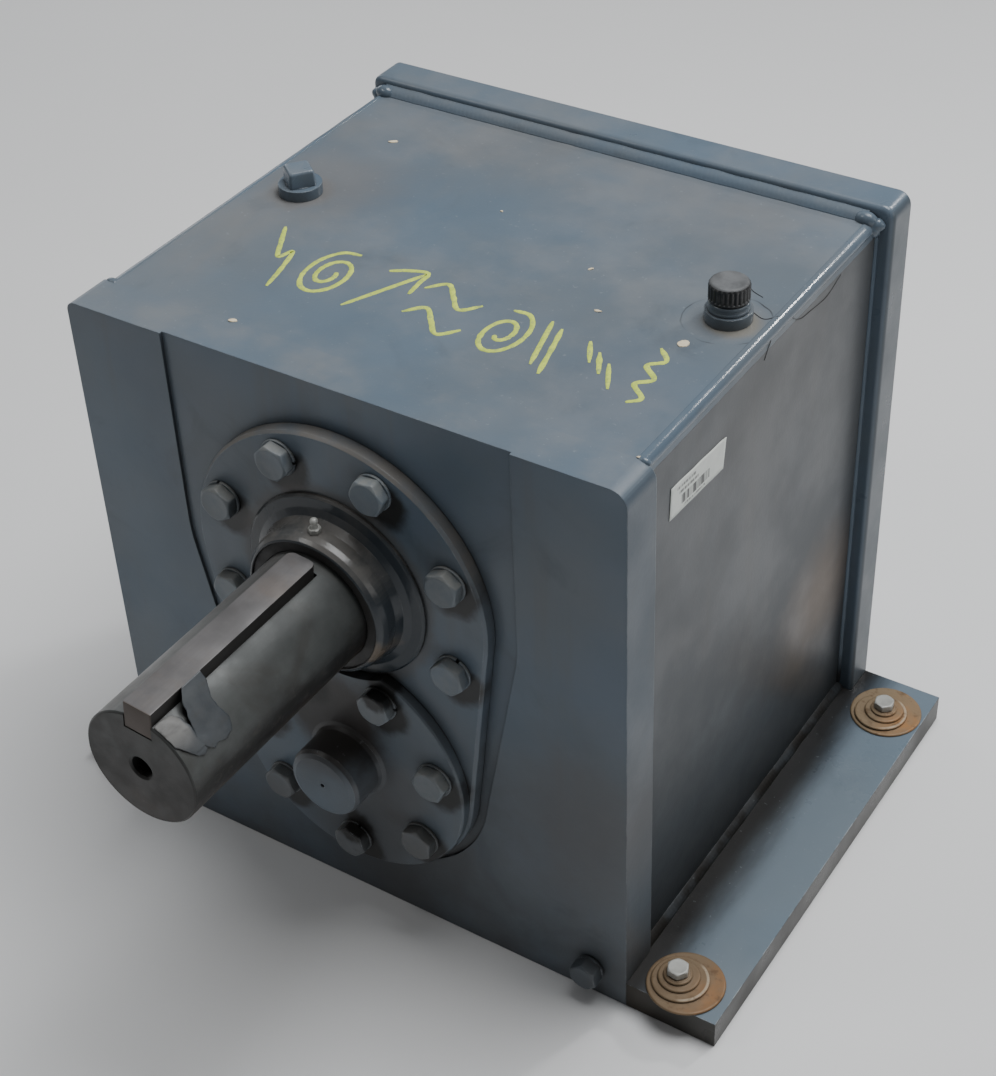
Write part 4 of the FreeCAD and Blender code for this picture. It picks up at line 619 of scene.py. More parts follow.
def label_paper():
    """A white label with plain grey bars that spell nothing."""
    near, far = LABEL_BOX[LOW][Y], LABEL_BOX[HIGH][Y]
    finish = Finish("label_paper", (0.66, 0.70, 0.66), (0.80, 0.83, 0.79))
    finish.start(finish.noise(120, 4))
    along = finish.y.step(near, far)
    height = finish.z + finish.y.step(near, far, 0.0, LABEL_DROP, kind="LINEAR")
    for bottom, top, start, end, scale, ink in LABEL_ROWS:
        mid = (bottom + top) / 2 + LABEL_BOX[LOW][Z] + LABEL_DROP
        in_row = abs(height - mid) < (top - bottom) / 2
        bars = finish.noise(scale, 1, 0.4, stretch=(0.01, 1, 0.01)).step(0.44, 0.52, 0.30, 1.0)
        finish.lay((0.05, 0.05, 0.05), in_row * ((along > start) * (along < end)) * bars * ink)
    return finish.done(0.5, finish.bump(finish.noise(50, 3), 0.0005, strength=0.4))


def shaft_tape_finish():
    """Grey tape: greasy, paler on the upper part of one lobe, and creased."""
    finish = Finish("greasy_tape", (0.042, 0.049, 0.057), (0.064, 0.071, 0.077))
    finish.start(finish.noise(50, 5, 0.6).step(0.35, 0.65))
    front_lobe = finish.y.step(-0.462, -0.466)
    finish.lay((0.17, 0.165, 0.155), front_lobe * finish.z.step(OUTPUT.z + 0.026, OUTPUT.z + 0.044) * 0.8)
    creases = finish.noise(120, 4, 0.6, stretch=(1, 0.3, 1))
    finish.lay((0.05, 0.05, 0.048), creases.step(0.5, 0.7) * 0.4)
    skin = finish.bump(creases, 0.0004, strength=0.6)
    return finish.done(finish.noise(70).step(0.3, 0.7, 0.42, 0.62), skin)


def marker_paint():
    """Dry yellow marker: streaky, with the enamel showing through."""
    finish = Finish("yellow_marker", (0.60, 0.70, 0.10), (0.42, 0.52, 0.07))
    streaks = finish.noise(240, 5, 0.7, stretch=(1, 0.5, 1))
    finish.start(streaks.step(0.3, 0.7))
    finish.lay((0.22, 0.27, 0.17), finish.noise(190, 5, 0.7, shift=(2, 2, 2)).step(0.52, 0.68) * 0.6)
    return finish.done(0.75, finish.bump(streaks, 0.0002, strength=0.5))


def chip_finish():
    finish = Finish("cream_chip", (0.78, 0.70, 0.52), (0.62, 0.50, 0.33))
    finish.start(finish.noise(300, 4))
    return finish.done(0.8, finish.bump(finish.noise(500, 3), 0.0003))


RUBBER = plain_rubber()

# Every CAD node that is carried over whole, apart from the bearings.
CAD_FINISHES = (
    (PAINT_TOP, "top_plate"),
    (PAINT_BASE, "base_plate"),
    (PAINT_SIDE_SHADED, "left_side_plate", "right_side_plate"),
    (PAINT_FRONT, "front_plate"),
    (PAINT_REAR, "rear_plate"),
    (PAINT, "output_rear_cap", "intermediate_rear_cap", "input_rear_cap"),
    (PAINT_COVER, "front_cover"),
    (PAINT_CAP, "lower_bearing_cap"),
    (PAINT_GLOSS, "fitting_bosses"),
    (PAINT_SEAL, "output_seal_housing"),
    (gasket_sheet(), "front_cover_gasket", "lower_cap_gasket", "rear_cap_gaskets"),
    (RUBBER, "output_oil_seal", "input_oil_seal"),
    (SHAFT, "output_shaft"),
    (INPUT_STEEL, "input_shaft"),
    (KEY, "output_gear_key", "intermediate_gear_key"),
    (BRIGHT, "output_gear_ring", "intermediate_gear_ring"),
    (GEAR, "output_gear", "intermediate_gear", "intermediate_shaft"),
    (BEARING, *[node for node in frame["nodes"]
                if node.endswith(("_outer_ring", "_inner_ring", "_rollers"))]),
)


def finish_cad_pieces():
    for material, *nodes in CAD_FINISHES:
        for node in nodes:
            slots = frame["nodes"][node].data.materials
            slots.clear()
            slots.append(material)


# ---------------------------------------------------------------- shapes built point by point


class Shape:
    """Points and faces gathered from several simple forms into one piece."""

    def __init__(self):
        self.points = []
        self.faces = []

    def skin(self, rings, place=Matrix(), closed=True, loop=False):
        """A surface through rings of points, with both ends filled: closed=False makes an open sheet of the
        rings, and loop=True joins the last ring to the first."""
        start = len(self.points)
        count = len(rings[0])
        self.points += [place @ Vector(point) for points in rings for point in points]
        for row in range(len(rings) if loop else len(rings) - 1):
            here, there = start + row * count, start + (row + 1) % len(rings) * count
            for column in range(count if closed else count - 1):
                following = (column + 1) % count
                self.faces.append([here + column, here + following, there + following, there + column])
        if closed and not loop:
            self.faces.append(list(range(start, start + count)))
            self.faces.append(list(range(len(self.points) - count, len(self.points))))

    def make(self, name, material, *nodes, body="housing", slot="grey_blue_paint", sharp=32):
        mesh = bpy.data.meshes.new(name)
        mesh.from_pydata(self.points, [], self.faces)
        tidy = bmesh.new()
        tidy.from_mesh(mesh)
        bmesh.ops.remove_doubles(tidy, verts=tidy.verts, dist=1e-6)
        bmesh.ops.recalc_face_normals(tidy, faces=tidy.faces)
        tidy.to_mesh(mesh)
        tidy.free()
        mesh.shade_smooth()
        mesh.set_sharp_from_angle(angle=radians(sharp))
        mesh.materials.append(material)
        piece = show(name, mesh)
        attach(piece, body)
        if nodes:
            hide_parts(*nodes)
        return piece


def thicken(piece, thickness, offset):
    solid = piece.modifiers.new("thickness", "SOLIDIFY")
    solid.thickness = thickness
    solid.offset = offset


def waver(x, y, z):
    """Smooth noise from about -1 to 1, the same on every run."""
    return noise.noise(Vector((x, y, z)))


def standing(place, toward, turn=0.0):
    """A matrix that stands +Z along a direction, at a place, turned about itself first."""
    side = RIGHT if abs(toward.x) < 0.9 else BACK
    across = toward.cross(side).cross(toward).normalized()
    upright = Matrix((across, toward.cross(across), toward)).transposed().to_4x4()
    return Matrix.Translation(place) @ upright @ Matrix.Rotation(turn, 4, "Z")


def around(count):
    return [2 * pi * index / count for index in range(count)]


def ring(radius, height, count):
    """A level ring of points; radius is a number or a function of the angle."""
    return [(reach * cos(angle), reach * sin(angle), height)
            for angle in around(count) for reach in [radius(angle) if callable(radius) else radius]]


def turned(profile, count, unit=MM):
    """Rings for a turned form, from its radii and heights."""
    return [ring(radius * unit, height * unit, count) for radius, height in profile]


def polygon_reach(sides, flats, soft):
    """The distance from the centre to a regular polygon's edge, at each angle."""
    step = 2 * pi / sides
    corner = flats / 2 / cos(step / 2) - soft

    def reach(angle):
        inside = (angle + step / 2) % step - step / 2
        return min(flats / 2 / cos(inside), corner)

    return reach


CROWN_SHARE = 0.93
CROWN_SLOPE = 0.577
CROWN_STEPS = 6


def bolt_head(shape, place, flats, height, sunk=0.0006, fine=72):
    """A hexagon head: flat sides, a chamfered crown and a slightly dished top."""
    outline = polygon_reach(6, flats, flats * 0.012)
    top_radius = flats / 2 * CROWN_SHARE
    chamfer = (flats / 2 / cos(pi / 6) - top_radius) * CROWN_SLOPE
    rings = [ring(lambda angle: outline(angle) * 0.985, 0, fine), ring(outline, 0.0004, fine),
             ring(outline, height - chamfer, fine)]
    for index in range(1, CROWN_STEPS + 1):
        level = height - chamfer + chamfer * index / CROWN_STEPS
        limit = top_radius + (height - level) / CROWN_SLOPE
        rings.append(ring(lambda angle, limit=limit: min(outline(angle), limit), level, fine))
    dish = ((top_radius - 0.0006, height), (top_radius * 0.72, height - sunk),
            (top_radius * 0.3, height - sunk * 0.8))
    shape.skin(rings + turned(dish, fine, 1), place)


def split_washer(shape, place, inner, outer, thick, gap_angle, rise):
    """A spring washer, cut through and sprung a little apart at the cut."""
    count = 44
    edge = 0.0004
    section = [(inner, edge), (inner + edge, 0), (outer - edge, 0), (outer, edge),
               (outer, thick - edge), (outer - edge, thick), (inner + edge, thick), (inner, thick - edge)]
    rings = []
    for index in range(count + 1):
        share = index / count
        angle = gap_angle / 2 + (2 * pi - gap_angle) * share
        lift = rise * (share - 0.5)
        rings.append([(radius * cos(angle), radius * sin(angle), height + lift)
                      for radius, height in section])
    shape.skin(rings, place)


# ---------------------------------------------------------------- bolts

BOLT_FLATS = 0.0286
BOLT_HEAD = 0.0105
BOLT_SHANK = ((8.9, -26), (9.5, -25.4), (9.5, 0.2))
SPRING_WASHER = (0.0098, 0.0164, 0.0025, radians(11), 0.0003)
SPRING_WASHER_THICK = SPRING_WASHER[2]
REAR_CIRCLES = ((OUTPUT, 0.0955, 0.019, 8, 22.5), (LOWER, 0.0686, 0.014, 6, 0), (INPUT, 0.0593, 0.014, 6, 30))
REAR_WASHER_THICK = 0.0016
FOOT_SHANK_RADIUS = 0.0056
FOOT_COLLAR = ((8.6, 0), (8.7, 0.3), (8.7, 0.6), (8.4, 0.8))


def make_front_bolts():
    washers = Shape()
    for node, seats in (("cover_bolts", COVER_BOLTS), ("lower_cap_bolts", CAP_BOLTS)):
        bolts = Shape()
        for number, seat in enumerate(seats):
            split_washer(washers, standing(seat, FRONT, radians(70 + 97 * number)), *SPRING_WASHER)
            head = seat + FRONT * SPRING_WASHER_THICK
            bolt_head(bolts, standing(head, FRONT, radians(13 + 41 * number)), BOLT_FLATS, BOLT_HEAD)
            bolts.skin(turned(BOLT_SHANK, 40), standing(head, FRONT))
        bolts.make(node + "_detailed", PAINT_BOLT, node)
    washers.make("spring_washers_detailed", PAINT_BOLT, "front_spring_washers")


def make_rear_bolts():
    bolts = Shape()
    for centre, circle, flats, count, first in REAR_CIRCLES:
        for number in range(count):
            seat = polar(centre, circle, first + 360 * number / count, REAR_CAP_FACE)
            washer = ((flats * 0.56, 0), (flats * 0.58, 0.0004), (flats * 0.58, 0.0012),
                      (flats * 0.55, REAR_WASHER_THICK))
            bolts.skin(turned(washer, 40, 1), standing(seat, BACK))
            place = standing(seat + BACK * REAR_WASHER_THICK, BACK, radians(17 + 29 * number))
            bolt_head(bolts, place, flats, flats * 0.42 - REAR_WASHER_THICK, fine=48)
    bolts.make("rear_cap_bolts_detailed", PAINT_BOLT, "rear_cap_bolts")


def make_foot_fasteners():
    bolts, washers = Shape(), Shape()
    thick = FOOT_WASHER_THICK
    for side in (-1, 1):
        for number, (along, across, slides) in enumerate(FOOT_STACKS):
            level = BASE_TOP
            for layer, ((outer, inner), (shift_x, shift_y)) in enumerate(zip(FOOT_WASHERS, slides)):
                profile = ((inner, 0), (outer - 0.0008, 0), (outer, 0.0008), (outer - 0.0001, thick - 0.0012),
                           (outer - 0.0006, thick - 0.0006), (outer - 0.0014, thick - 0.0003),
                           (outer - 0.0026, thick - 0.0004), (outer * 0.55 + inner * 0.45, thick - 0.0002),
                           (inner + 0.0004, thick), (inner, thick - 0.0004))
                tilt = Matrix.Rotation(radians(0.15 * ((layer * 7 + number * 3) % 5 - 2)), 4, "X")
                place = Matrix.Translation((side * (across + shift_x), along + shift_y, level)) @ tilt
                washers.skin(turned(profile, 72, 1), place, loop=True)
                level += thick
            centre = Vector((side * across, along, level))
            radius = FOOT_SHANK_RADIUS
            shank = ((radius - 0.0004, -level), (radius, -level + 0.0006), (radius, 0.0002))
            bolts.skin(turned(shank, 32, 1), standing(centre, UP))
            bolts.skin(turned(FOOT_COLLAR, 40), standing(centre, UP))
            turn = radians(12 if number else 24) * side
            bolt_head(bolts, standing(centre + UP * 0.0006, UP, turn), FOOT_FLATS, 0.0064, sunk=0.0002)
    washers.make("foot_washers_detailed", rusty_plate(), "foot_washers", slot="rusty_washer")
    bolts.make("foot_bolts_detailed", ZINC, "foot_bolts", slot="zinc_steel")


# ---------------------------------------------------------------- fittings on top and in front

# Radii and heights in mm, from the fitting's seat.
BREATHER_BODY = ((12.8, -17), (13, -16), (13, 0), (16, 0), (16.8, 0.6), (16.8, 2.6), (16.3, 3.2), (16, 4.4),
                 (16.3, 5.4), (16.7, 6.2), (16.7, 7.8), (16, 8.5), (12.4, 8.7), (12, 9.2), (12, 12.4))
CAP_FOOT = ((15, 9.3), (15.8, 9.1), (16.6, 9.7), (16.6, 10.7))
CAP_CROWN = ((15.7, 23.6), (14.7, 24.5), (13.4, 24.9), (12, 24.7), (8, 24.8), (2, 24.8))
DRAIN_COLLAR = ((10.3, -24), (10.5, -23.5), (10.5, 1), (12.5, 1.2), (12.8, 2), (12.8, 3.4), (12, 4),
                (10, 4.2))
NIPPLE = ((3, 4.2), (2.6, 5), (2.4, 7.8), (3, 8.8), (3.3, 10), (3.2, 11.2), (2.6, 12.4), (1.6, 13.1),
          (0.8, 13.3))
PLUG_TURN = radians(52)
RIBS = 26


def ribbed(depth):
    """The breather cap's outline, with grooves of some depth between its ribs."""
    def reach(angle):
        wave = 0.5 + 0.5 * cos(RIBS * angle)
        return 0.0166 - depth * (1 - wave ** 0.6)
    return reach


def make_breather():
    place = Matrix.Translation((BREATHER.x, BREATHER.y, FITTING_TOP))
    body, cap = Shape(), Shape()
    body.skin(turned(BREATHER_BODY, 64), place)
    body.make("breather_body_detailed", PAINT_GLOSS, "breather_body")
    fine = RIBS * 8
    ribs = [ring(ribbed(depth), height, fine)
            for depth, height in ((0.0012, 0.0114), (0.0012, 0.0206), (0.0006, 0.0222))]
    cap.skin(turned(CAP_FOOT, fine) + ribs + turned(CAP_CROWN, fine), place)
    cap.make("breather_cap_detailed", black_plastic(), "breather_cap", slot="black_plastic")


def make_fill_plug():
    centre = Vector((PLUG.x, PLUG.y, FITTING_TOP))
    plug = Shape()
    outline = polygon_reach(4, 0.0235, 0.0011)
    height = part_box("fill_plug")[HIGH][Z] - FITTING_TOP
    levels = ((0.0, 1.0), (0.004, 1.0), (height - 0.0026, 0.955), (height - 0.0018, 0.94),
              (height - 0.0003, 0.86), (height, 0.82), (height - 0.0002, 0.4), (height - 0.0003, 0.1))
    rings = [ring(lambda angle, scale=scale: outline(angle) * scale, level, 80) for level, scale in levels]
    plug.skin(rings, Matrix.Translation(centre) @ Matrix.Rotation(PLUG_TURN, 4, "Z"))
    threads = [point for turn in range(8)
               for point in ((12.9, -17.2 + turn * 2.1), (12.3, -16.2 + turn * 2.1))]
    plug.skin(turned([(12.4, -18), *threads, (12.9, 0.2), (10, 0.3)], 48), Matrix.Translation(centre))
    plug.make("fill_plug_detailed", PAINT_PLUG_LIT, "fill_plug")


def make_drain_plug():
    centre = middle("drain_plug")
    centre.y = FRONT_FACE
    plug = Shape()
    plug.skin(turned(DRAIN_COLLAR, 48), standing(centre, FRONT))
    bolt_head(plug, standing(centre + FRONT * 0.004, FRONT, radians(8)), 0.024, 0.0128)
    plug.make("drain_plug_detailed", PAINT_DRAIN, "drain_plug")


def make_grease_fitting():
    centre = middle("grease_fitting")
    centre.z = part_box("grease_fitting")[HIGH][Z] - NIPPLE[-1][1] * MM
    place = Matrix.Translation(centre)
    fitting = Shape()
    bolt_head(fitting, place, 0.0095, 0.0045, sunk=0.0001, fine=48)
    fitting.skin(turned(((2.9, -6), (3, 0.1)), 24), place)
    fitting.skin(turned(NIPPLE, 32), place)
    fitting.make("grease_fitting_detailed", ZINC, "grease_fitting", slot="zinc_steel")


# ---------------------------------------------------------------- welds

WELD_LEG = 0.007
REAR_WELD_LEG = 0.003
TOP_WELD_LEG = 0.009
TOP_WELD_INSET = 0.007
RIPPLE_PITCH = 0.0046
CORNER_RADIUS = 0.0076
CORNER_DEPTH = 0.0071
# Each lump at a rear corner: how far in, ahead of the rear plate and below the top, and its half sizes.
REAR_LUMPS = ((0.008, 0.0045, -0.0020, (0.010, 0.0065, 0.0068)),
              (0.002, 0.0035, 0.0060, (0.0075, 0.006, 0.008)),
              (-0.001, 0.0020, 0.0020, (0.007, 0.006, 0.006)))


def weld_run(shape, start, along, first_wall, second_wall, length, seed, leg=WELD_LEG):
    """A rippled bead lying in the corner between two walls."""
    steps = max(12, round(length / 0.0011))
    arc = 7
    rings = []
    for index in range(steps + 1):
        travelled = length * index / steps
        points = [start + along * travelled - (first_wall + second_wall) * 0.0003]
        wander = waver(travelled * 42, seed, 0) * 0.07
        for part in range(arc + 1):
            angle = pi / 2 * part / arc
            curve = sin(2 * angle)
            phase = (travelled + 0.0016 * curve) / RIPPLE_PITCH + waver(travelled * 30, seed, 4) * 0.6
            ripple = (phase % 1.0) ** 1.6
            reach = leg / (cos(angle) + sin(angle)) * (0.92 + wander)
            reach *= 1 + curve * (0.16 + 0.07 * ripple)
            points.append(start + along * travelled + first_wall * (reach * cos(angle))
                          + second_wall * (reach * sin(angle)))
        rings.append(points)
    shape.skin(rings)


def corner_run(shape, side, start, end, seed):
    """A smooth weld bead along a top edge of the body, a little proud of both faces."""
    steps = round((end - start) / 0.0022)
    rings = []
    for index in range(steps + 1):
        along = start + (end - start) * index / steps
        reach = CORNER_RADIUS + 0.00022 * waver(along * 40, seed, 1)
        section = [(-0.012, -0.012), (-0.0085, -0.0003)]
        for part in range(13):
            angle = pi / 2 * (1.02 - 1.04 * part / 12)
            section.append((reach * cos(angle) - CORNER_DEPTH, reach * sin(angle) - CORNER_DEPTH))
        section.append((-0.0003, -0.0085))
        rings.append([(side * (BODY_HALF + across), along, TOP + up) for across, up in section])
    shape.skin(rings)


def weld_blob(shape, centre, size, seed):
    """A small lump where a bead was started."""
    rings = []
    for step in range(1, 9):
        lift = pi * step / 9
        rings.append([(centre[0] + size[0] * sin(lift) * cos(angle)
                       * (1 + 0.2 * waver(cos(angle), sin(angle), seed + lift)),
                       centre[1] + size[1] * sin(lift) * sin(angle),
                       centre[2] - size[2] * cos(lift)) for angle in around(20)])
    shape.skin(rings)


def make_corner_welds():
    corners = Shape()
    for side in (-1, 1):
        corner_run(corners, side, FRONT_INNER - 0.001, REAR_INNER + 0.001, 50 + side)
        front = (side * (BODY_HALF - 0.0035), FRONT_INNER + 0.0015, TOP - 0.0025)
        weld_blob(corners, front, (0.006, 0.0042, 0.004), 3)
        for seed, (inward, ahead, lower, size) in enumerate(REAR_LUMPS, 9):
            weld_blob(corners, (side * (BODY_HALF - inward), REAR_INNER - ahead, TOP - lower), size, seed)
        tail = [Vector((side * (BODY_HALF + 0.0008), FRONT_INNER + 0.0006, TOP - 0.004 - 0.0022 * step))
                for step in range(10)]
        corners.skin([[point + Vector((cos(angle), sin(angle), 0)) * 0.0011 * (1 - index / 11)
                       for angle in around(8)] for index, point in enumerate(tail)])
    corners.make("corner_welds", PAINT_BEAD, sharp=50)


def make_welds():
    beads = Shape()
    bottom = BASE_TOP + WELD_LEG
    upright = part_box("right_side_plate")[HIGH][Z] - BASE_TOP - WELD_LEG
    for number, (outward, across) in enumerate(((LEFT, -BODY_HALF), (RIGHT, BODY_HALF))):
        weld_run(beads, Vector((across, FRONT_INNER, bottom)), UP, outward, BACK, upright, 3 + number)
        weld_run(beads, Vector((across, REAR_INNER, bottom)), UP, outward, FRONT, upright, 13 + number,
                 REAR_WELD_LEG)
        weld_run(beads, Vector((across, FRONT_INNER, BASE_TOP)), BACK, outward, UP, REAR_INNER - FRONT_INNER,
                 23 + number)
    half = BODY_HALF - TOP_WELD_INSET
    weld_run(beads, Vector((-half, REAR_INNER, TOP)), RIGHT, FRONT, UP, 2 * half, 33, TOP_WELD_LEG)
    beads.make("weld_beads_detailed", PAINT_WELD, "weld_beads", sharp=50)


# ---------------------------------------------------------------- key and tape on the shaft

SHAFT_RADIUS = 0.0508
KEY_TURN = 6
KEY_WIDTH = 0.0254
KEY_HALF = KEY_WIDTH / 2
KEY_FLOOR = 0.0365
KEY_TOP = KEY_FLOOR + KEY_WIDTH
KEY_CORNER = 0.006
KEY_SOFT = 0.0007


def make_key():
    """The square key with softened edges; its two back corners are rounded."""
    start, end = KEY_BOX[LOW][Y], KEY_BOX[HIGH][Y]
    steps = 8
    back = [(KEY_HALF - KEY_CORNER + KEY_CORNER * cos(angle), end - KEY_CORNER + KEY_CORNER * sin(angle))
            for angle in [pi / 2 * step / steps for step in range(steps + 1)]]
    half = [(KEY_HALF - KEY_SOFT, start), (KEY_HALF, start + KEY_SOFT), *back]
    plan = [(KEY_SOFT - KEY_HALF, start), *half, *[(-x, y) for x, y in reversed(half[1:])]]
    middle_y = (start + end) / 2
    rings = []
    for height, shrink in ((0, KEY_SOFT), (KEY_SOFT, 0), (KEY_WIDTH - KEY_SOFT, 0),
                           (KEY_WIDTH - KEY_SOFT * 0.3, KEY_SOFT * 0.3), (KEY_WIDTH, KEY_SOFT)):
        rings.append([(x - copysign(min(shrink, abs(x)), x), y - copysign(shrink, y - middle_y),
                       KEY_FLOOR + height) for x, y in plan])
    key = Shape()
    turn = Matrix.Rotation(radians(KEY_TURN), 4, "Y")
    key.skin(rings, Matrix.Translation((OUTPUT.x, 0, OUTPUT.z)) @ turn)
    key.make("output_key_detailed", KEY, "output_key", body="output_shaft", slot="key_steel")


TAPE_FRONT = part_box("shaft_tape")[LOW][Y]
TAPE_ROWS, TAPE_COLUMNS = 50, 22
# Each lobe's reach along the shaft at a few places round it: (degrees, front, back) in degrees and mm.
FRONT_LOBE = ((68, -484, -474), (66, -484.5, -466), (57, -484.5, -463), (45, -483, -461), (34, -476, -461),
              (26, -470, -460))
REAR_LOBE = ((72.3, -450, -429), (66, -457, -430), (56, -460, -434), (46, -462, -434), (36, -465, -432),
             (28, -462, -432), (22, -455, -436))


def tape_point(along, degrees, lift, climbs):
    """A point of the tape: on the shaft, or on the straight stretch up to the key's top edge."""
    edge_angle = 90 - KEY_TURN - to_degrees(atan2(KEY_HALF, KEY_TOP))
    touch = edge_angle - to_degrees(acos(SHAFT_RADIUS / hypot(KEY_TOP, KEY_HALF)))
    radius = SHAFT_RADIUS + 0.0003
    if climbs and degrees > touch:
        radius /= cos(radians(degrees - touch))
    return polar(OUTPUT, radius + lift, degrees, along)


def between(table, degrees):
    """The lobe's front and back at one place round the shaft."""
    for (here, front, back), (there, next_front, next_back) in zip(table, table[1:]):
        if degrees >= there:
            share = (here - degrees) / (here - there)
            return front + (next_front - front) * share, back + (next_back - back) * share
    return table[-1][1], table[-1][2]


def make_tape():
    """Torn tape: one lobe lies on the shaft, the other climbs to the key's top edge."""
    tape = Shape()
    for seed, table, climbs in ((1.0, FRONT_LOBE, False), (5.0, REAR_LOBE, True)):
        first, last = table[0][0], table[-1][0]
        rings = []
        for row in range(TAPE_ROWS + 1):
            degrees = first + (last - first) * row / TAPE_ROWS
            front, back = between(table, degrees)
            front += waver(degrees * 0.16, seed, 0) * 1.2
            back += waver(degrees * 0.16, seed, 7) * 1.2
            points = []
            for column in range(TAPE_COLUMNS + 1):
                share = column / TAPE_COLUMNS
                along = max((front + (back - front) * share) * MM, TAPE_FRONT)
                lift = 0.0003 + max(0.0, waver(along * 95, degrees * 0.07, seed)) * 0.0013
                if not climbs:
                    lift += 0.0009 * sin(pi * share)
                if degrees < last + 4:
                    lift *= 0.3
                rim = degrees + waver(along * 130, seed, 9) * 4.0 * (row == TAPE_ROWS)
                points.append(tape_point(along, rim, lift, climbs))
            rings.append(points)
        tape.skin(rings, closed=False)
    piece = tape.make("shaft_tape_detailed", shaft_tape_finish(), "shaft_tape", body="output_shaft",
                      slot="tape_paper", sharp=60)
    thicken(piece, 0.0004, 1)


# ---------------------------------------------------------------- label, marker strokes and chips

LABEL_LENGTH = 0.086
LABEL_HEIGHT = 0.029
LABEL_LEVEL = 0.4705
LABEL_TILT = radians(-3.7)
LABEL_FLAT_SHARE = 0.86


def make_label():
    """The label, with ripples and one upper corner curling off."""
    rows, columns = 10, 30
    corner = Vector((BODY_HALF, LABEL_BOX[LOW][Y], LABEL_LEVEL))
    tilt = Matrix.Rotation(LABEL_TILT, 3, "X")
    rings = []
    for row in range(rows + 1):
        up = LABEL_HEIGHT * row / rows
        points = []
        for column in range(columns + 1):
            along = LABEL_LENGTH * column / columns
            loose = max(0.0, (along / LABEL_LENGTH - LABEL_FLAT_SHARE) / (1 - LABEL_FLAT_SHARE))
            curl = 0.0010 * loose ** 2 * (up / LABEL_HEIGHT)
            ripple = 0.00012 * (1 + sin(along * 190 + up * 60))
            points.append(corner + tilt @ Vector((0.00022 + curl + ripple, along, up)))
        rings.append(points)
    sheet = Shape()
    sheet.skin(rings, closed=False)
    piece = sheet.make("side_label_detailed", label_paper(), "side_label", slot="label_paper")
    thicken(piece, 0.00018, 0)


def smooth_path(points, steps=9):
    """A Catmull-Rom curve through the points."""
    ends = [points[0] * 2 - points[1], *points, points[-1] * 2 - points[-2]]
    path = []
    for index in range(1, len(ends) - 2):
        before, start, stop, after = ends[index - 1:index + 3]
        for step in range(steps):
            share = step / steps
            path.append(0.5 * (start * 2 + (stop - before) * share
                               + (before * 2 - start * 5 + stop * 4 - after) * share ** 2
                               + (start * 3 - before - stop * 3 + after) * share ** 3))
    return [*path, points[-1]]


def along_path(path):
    """Each point of a path, with the direction there."""
    for index, point in enumerate(path):
        yield point, (path[min(index + 1, len(path) - 1)] - path[max(index - 1, 0)]).normalized()


def marker_stroke(shape, points, width, seed):
    """A thin raised ribbon on the top plate, ragged at its sides and rounded at its ends."""
    path = smooth_path([Vector((x, y, 0)) * MM for x, y in points])
    foot, crown = UP * (TOP + 0.00002), UP * (TOP + 0.00022)
    rings = []
    for index, (point, forward) in enumerate(along_path(path)):
        taper = min(1.0, 0.45 + 0.22 * min(index, len(path) - 1 - index))
        reach = width / 2 * taper * (1 + 0.28 * waver(index * 0.45, seed, 0))
        half = Vector((-forward.y, forward.x, 0)) * reach
        rings.append([point + half + foot, point + half * 0.9 + crown, point - half * 0.9 + crown,
                      point - half + foot])
    shape.skin(rings)


def spiral(x, y, start, turns, wide, high):
    """Points on a curl that winds inwards."""
    count = round(abs(turns) * 9)
    points = []
    for index in range(count + 1):
        share = index / count
        angle = start + 2 * pi * turns * share
        reach = 1 - 0.8 * share
        points.append((x + wide * reach * cos(angle), y + high * reach * sin(angle)))
    return points


MARKER_WIDTH = 0.0043
WAVE = ((-18, -74), (-4, -60), (10, -74), (24, -88), (38, -74))
# A flash, curls, an arrow, waves and ticks that spell nothing, as places on the top plate in mm.
STROKES = (
    ((-176, -50), (-164, -72), (-152, -92), (-146, -80), (-138, -106), (-132, -134)),
    spiral(-98, -94, 1.3, 1.9, 24, 38),
    ((-62, -128), (-46, -94), (-28, -56)),
    ((-58, -66), (-44, -58), (-28, -54), (-26, -70), (-24, -88)),
    WAVE,
    [(x + 4, y - 38) for x, y in WAVE],
    spiral(72, -100, 2.0, -1.7, 22, 36),
    ((98, -66), (106, -96), (114, -126)),
    ((110, -72), (118, -102), (126, -134)),
    ((138, -76), (152, -102)),
    ((152, -86), (166, -112)),
    ((166, -96), (182, -126)),
    ((190, -58), (202, -72), (192, -84), (206, -98), (196, -110), (210, -124), (202, -134)),
)
HAIR_LEVEL = TOP + 0.0003
SIDE = BODY_HALF / MM + 0.2
# Dark fibres beside the breather and over the right edge: X, Y and the depth below the top plate in mm.
HAIRS = (
    ((209, 53, 0), (214, 49, 0), (224, 45, 0)),
    ((225, 23, 0), (239, 17, 0), (247, 26, 0)),
    ((SIDE - 4, 9, 2), (SIDE, 4, 7), (SIDE, -1, 14), (SIDE, -6, 21)),
    ((SIDE - 7, 30, 0), (SIDE - 1, 38, 5), (SIDE, 46, 12), (SIDE, 58, 18), (SIDE, 73, 20), (SIDE, 104, 23),
     (SIDE, 130, 16)),
)
HAIR_RADIUS = 0.00028
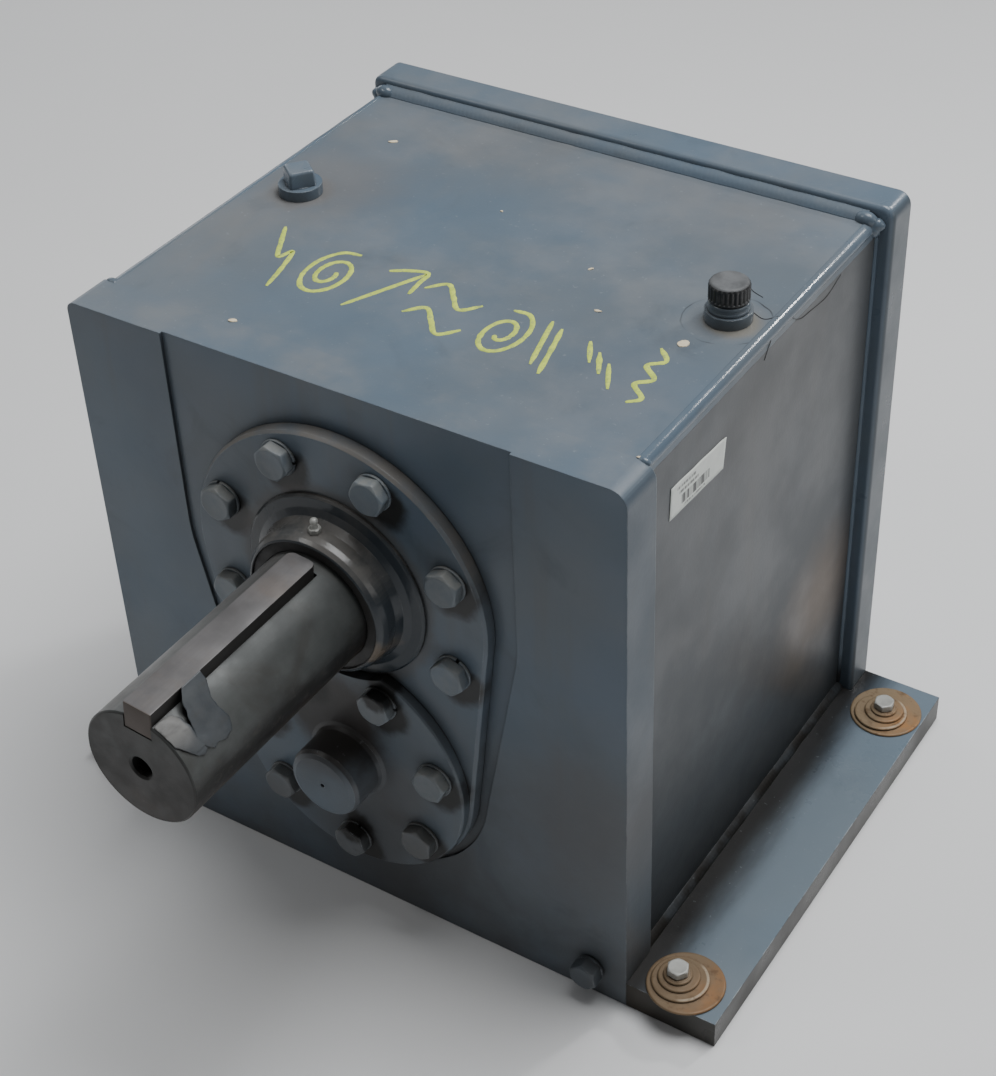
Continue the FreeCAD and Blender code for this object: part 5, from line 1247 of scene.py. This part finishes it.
# Paint chips: place on the top plate and half sizes in mm, and turn in degrees.
CHIPS = ((-123, -189, 3.9, 2.4, 20), (-183, 119, 4.4, 2.0, 35), (201.5, -44.5, 5.4, 4.4, 70),
         (121, -36, 3.2, 1.4, 10), (84, 16, 2.6, 1.1, 60), (-30, 60, 1.4, 1.0, 0),
         (245.5, FRONT_INNER / MM + 1, 2.6, 1.3, 15))


def make_marker():
    marks = Shape()
    for number, points in enumerate(STROKES):
        marker_stroke(marks, points, MARKER_WIDTH, number * 1.7)
    marks.make("marker_strokes", marker_paint(), slot="yellow_marker", sharp=60)


def make_hairs():
    hairs = Shape()
    for line in HAIRS:
        rings = []
        points = [Vector((x * MM, y * MM, HAIR_LEVEL - depth * MM)) for x, y, depth in line]
        for point, forward in along_path(smooth_path(points)):
            across = forward.cross(UP).normalized()
            above = across.cross(forward)
            rings.append([point + (across * cos(angle) + above * sin(angle)) * HAIR_RADIUS
                          for angle in around(6)])
        hairs.skin(rings)
    hairs.make("stuck_fibres", RUBBER, slot="seal_rubber")


def make_chips():
    chips = Shape()
    for number, (x, y, long_half, short_half, degrees) in enumerate(CHIPS):
        turn = Matrix.Rotation(radians(degrees), 4, "Z")
        rings = []
        for scale, lift in ((1.0, 0.0001), (0.95, 0.0007), (0.5, 0.0010)):
            points = []
            for index, angle in enumerate(around(11)):
                reach = MM * scale * (1 + 0.3 * waver(index * 1.3, number * 2.1, 3))
                points.append((long_half * reach * cos(angle), short_half * reach * sin(angle),
                               lift + 0.0002 * scale * sin(angle * 2 + number)))
            rings.append(points)
        chips.skin(rings, Matrix.Translation((x * MM, y * MM, TOP)) @ turn)
    chips.make("paint_chips", chip_finish(), slot="label_paper", sharp=20)


make_camera()
make_studio()
finish_cad_pieces()
make_front_bolts()
make_rear_bolts()
make_foot_fasteners()
make_breather()
make_fill_plug()
make_drain_plug()
make_grease_fitting()
make_welds()
make_corner_welds()
make_hairs()
make_key()
make_tape()
make_label()
make_marker()
make_chips()
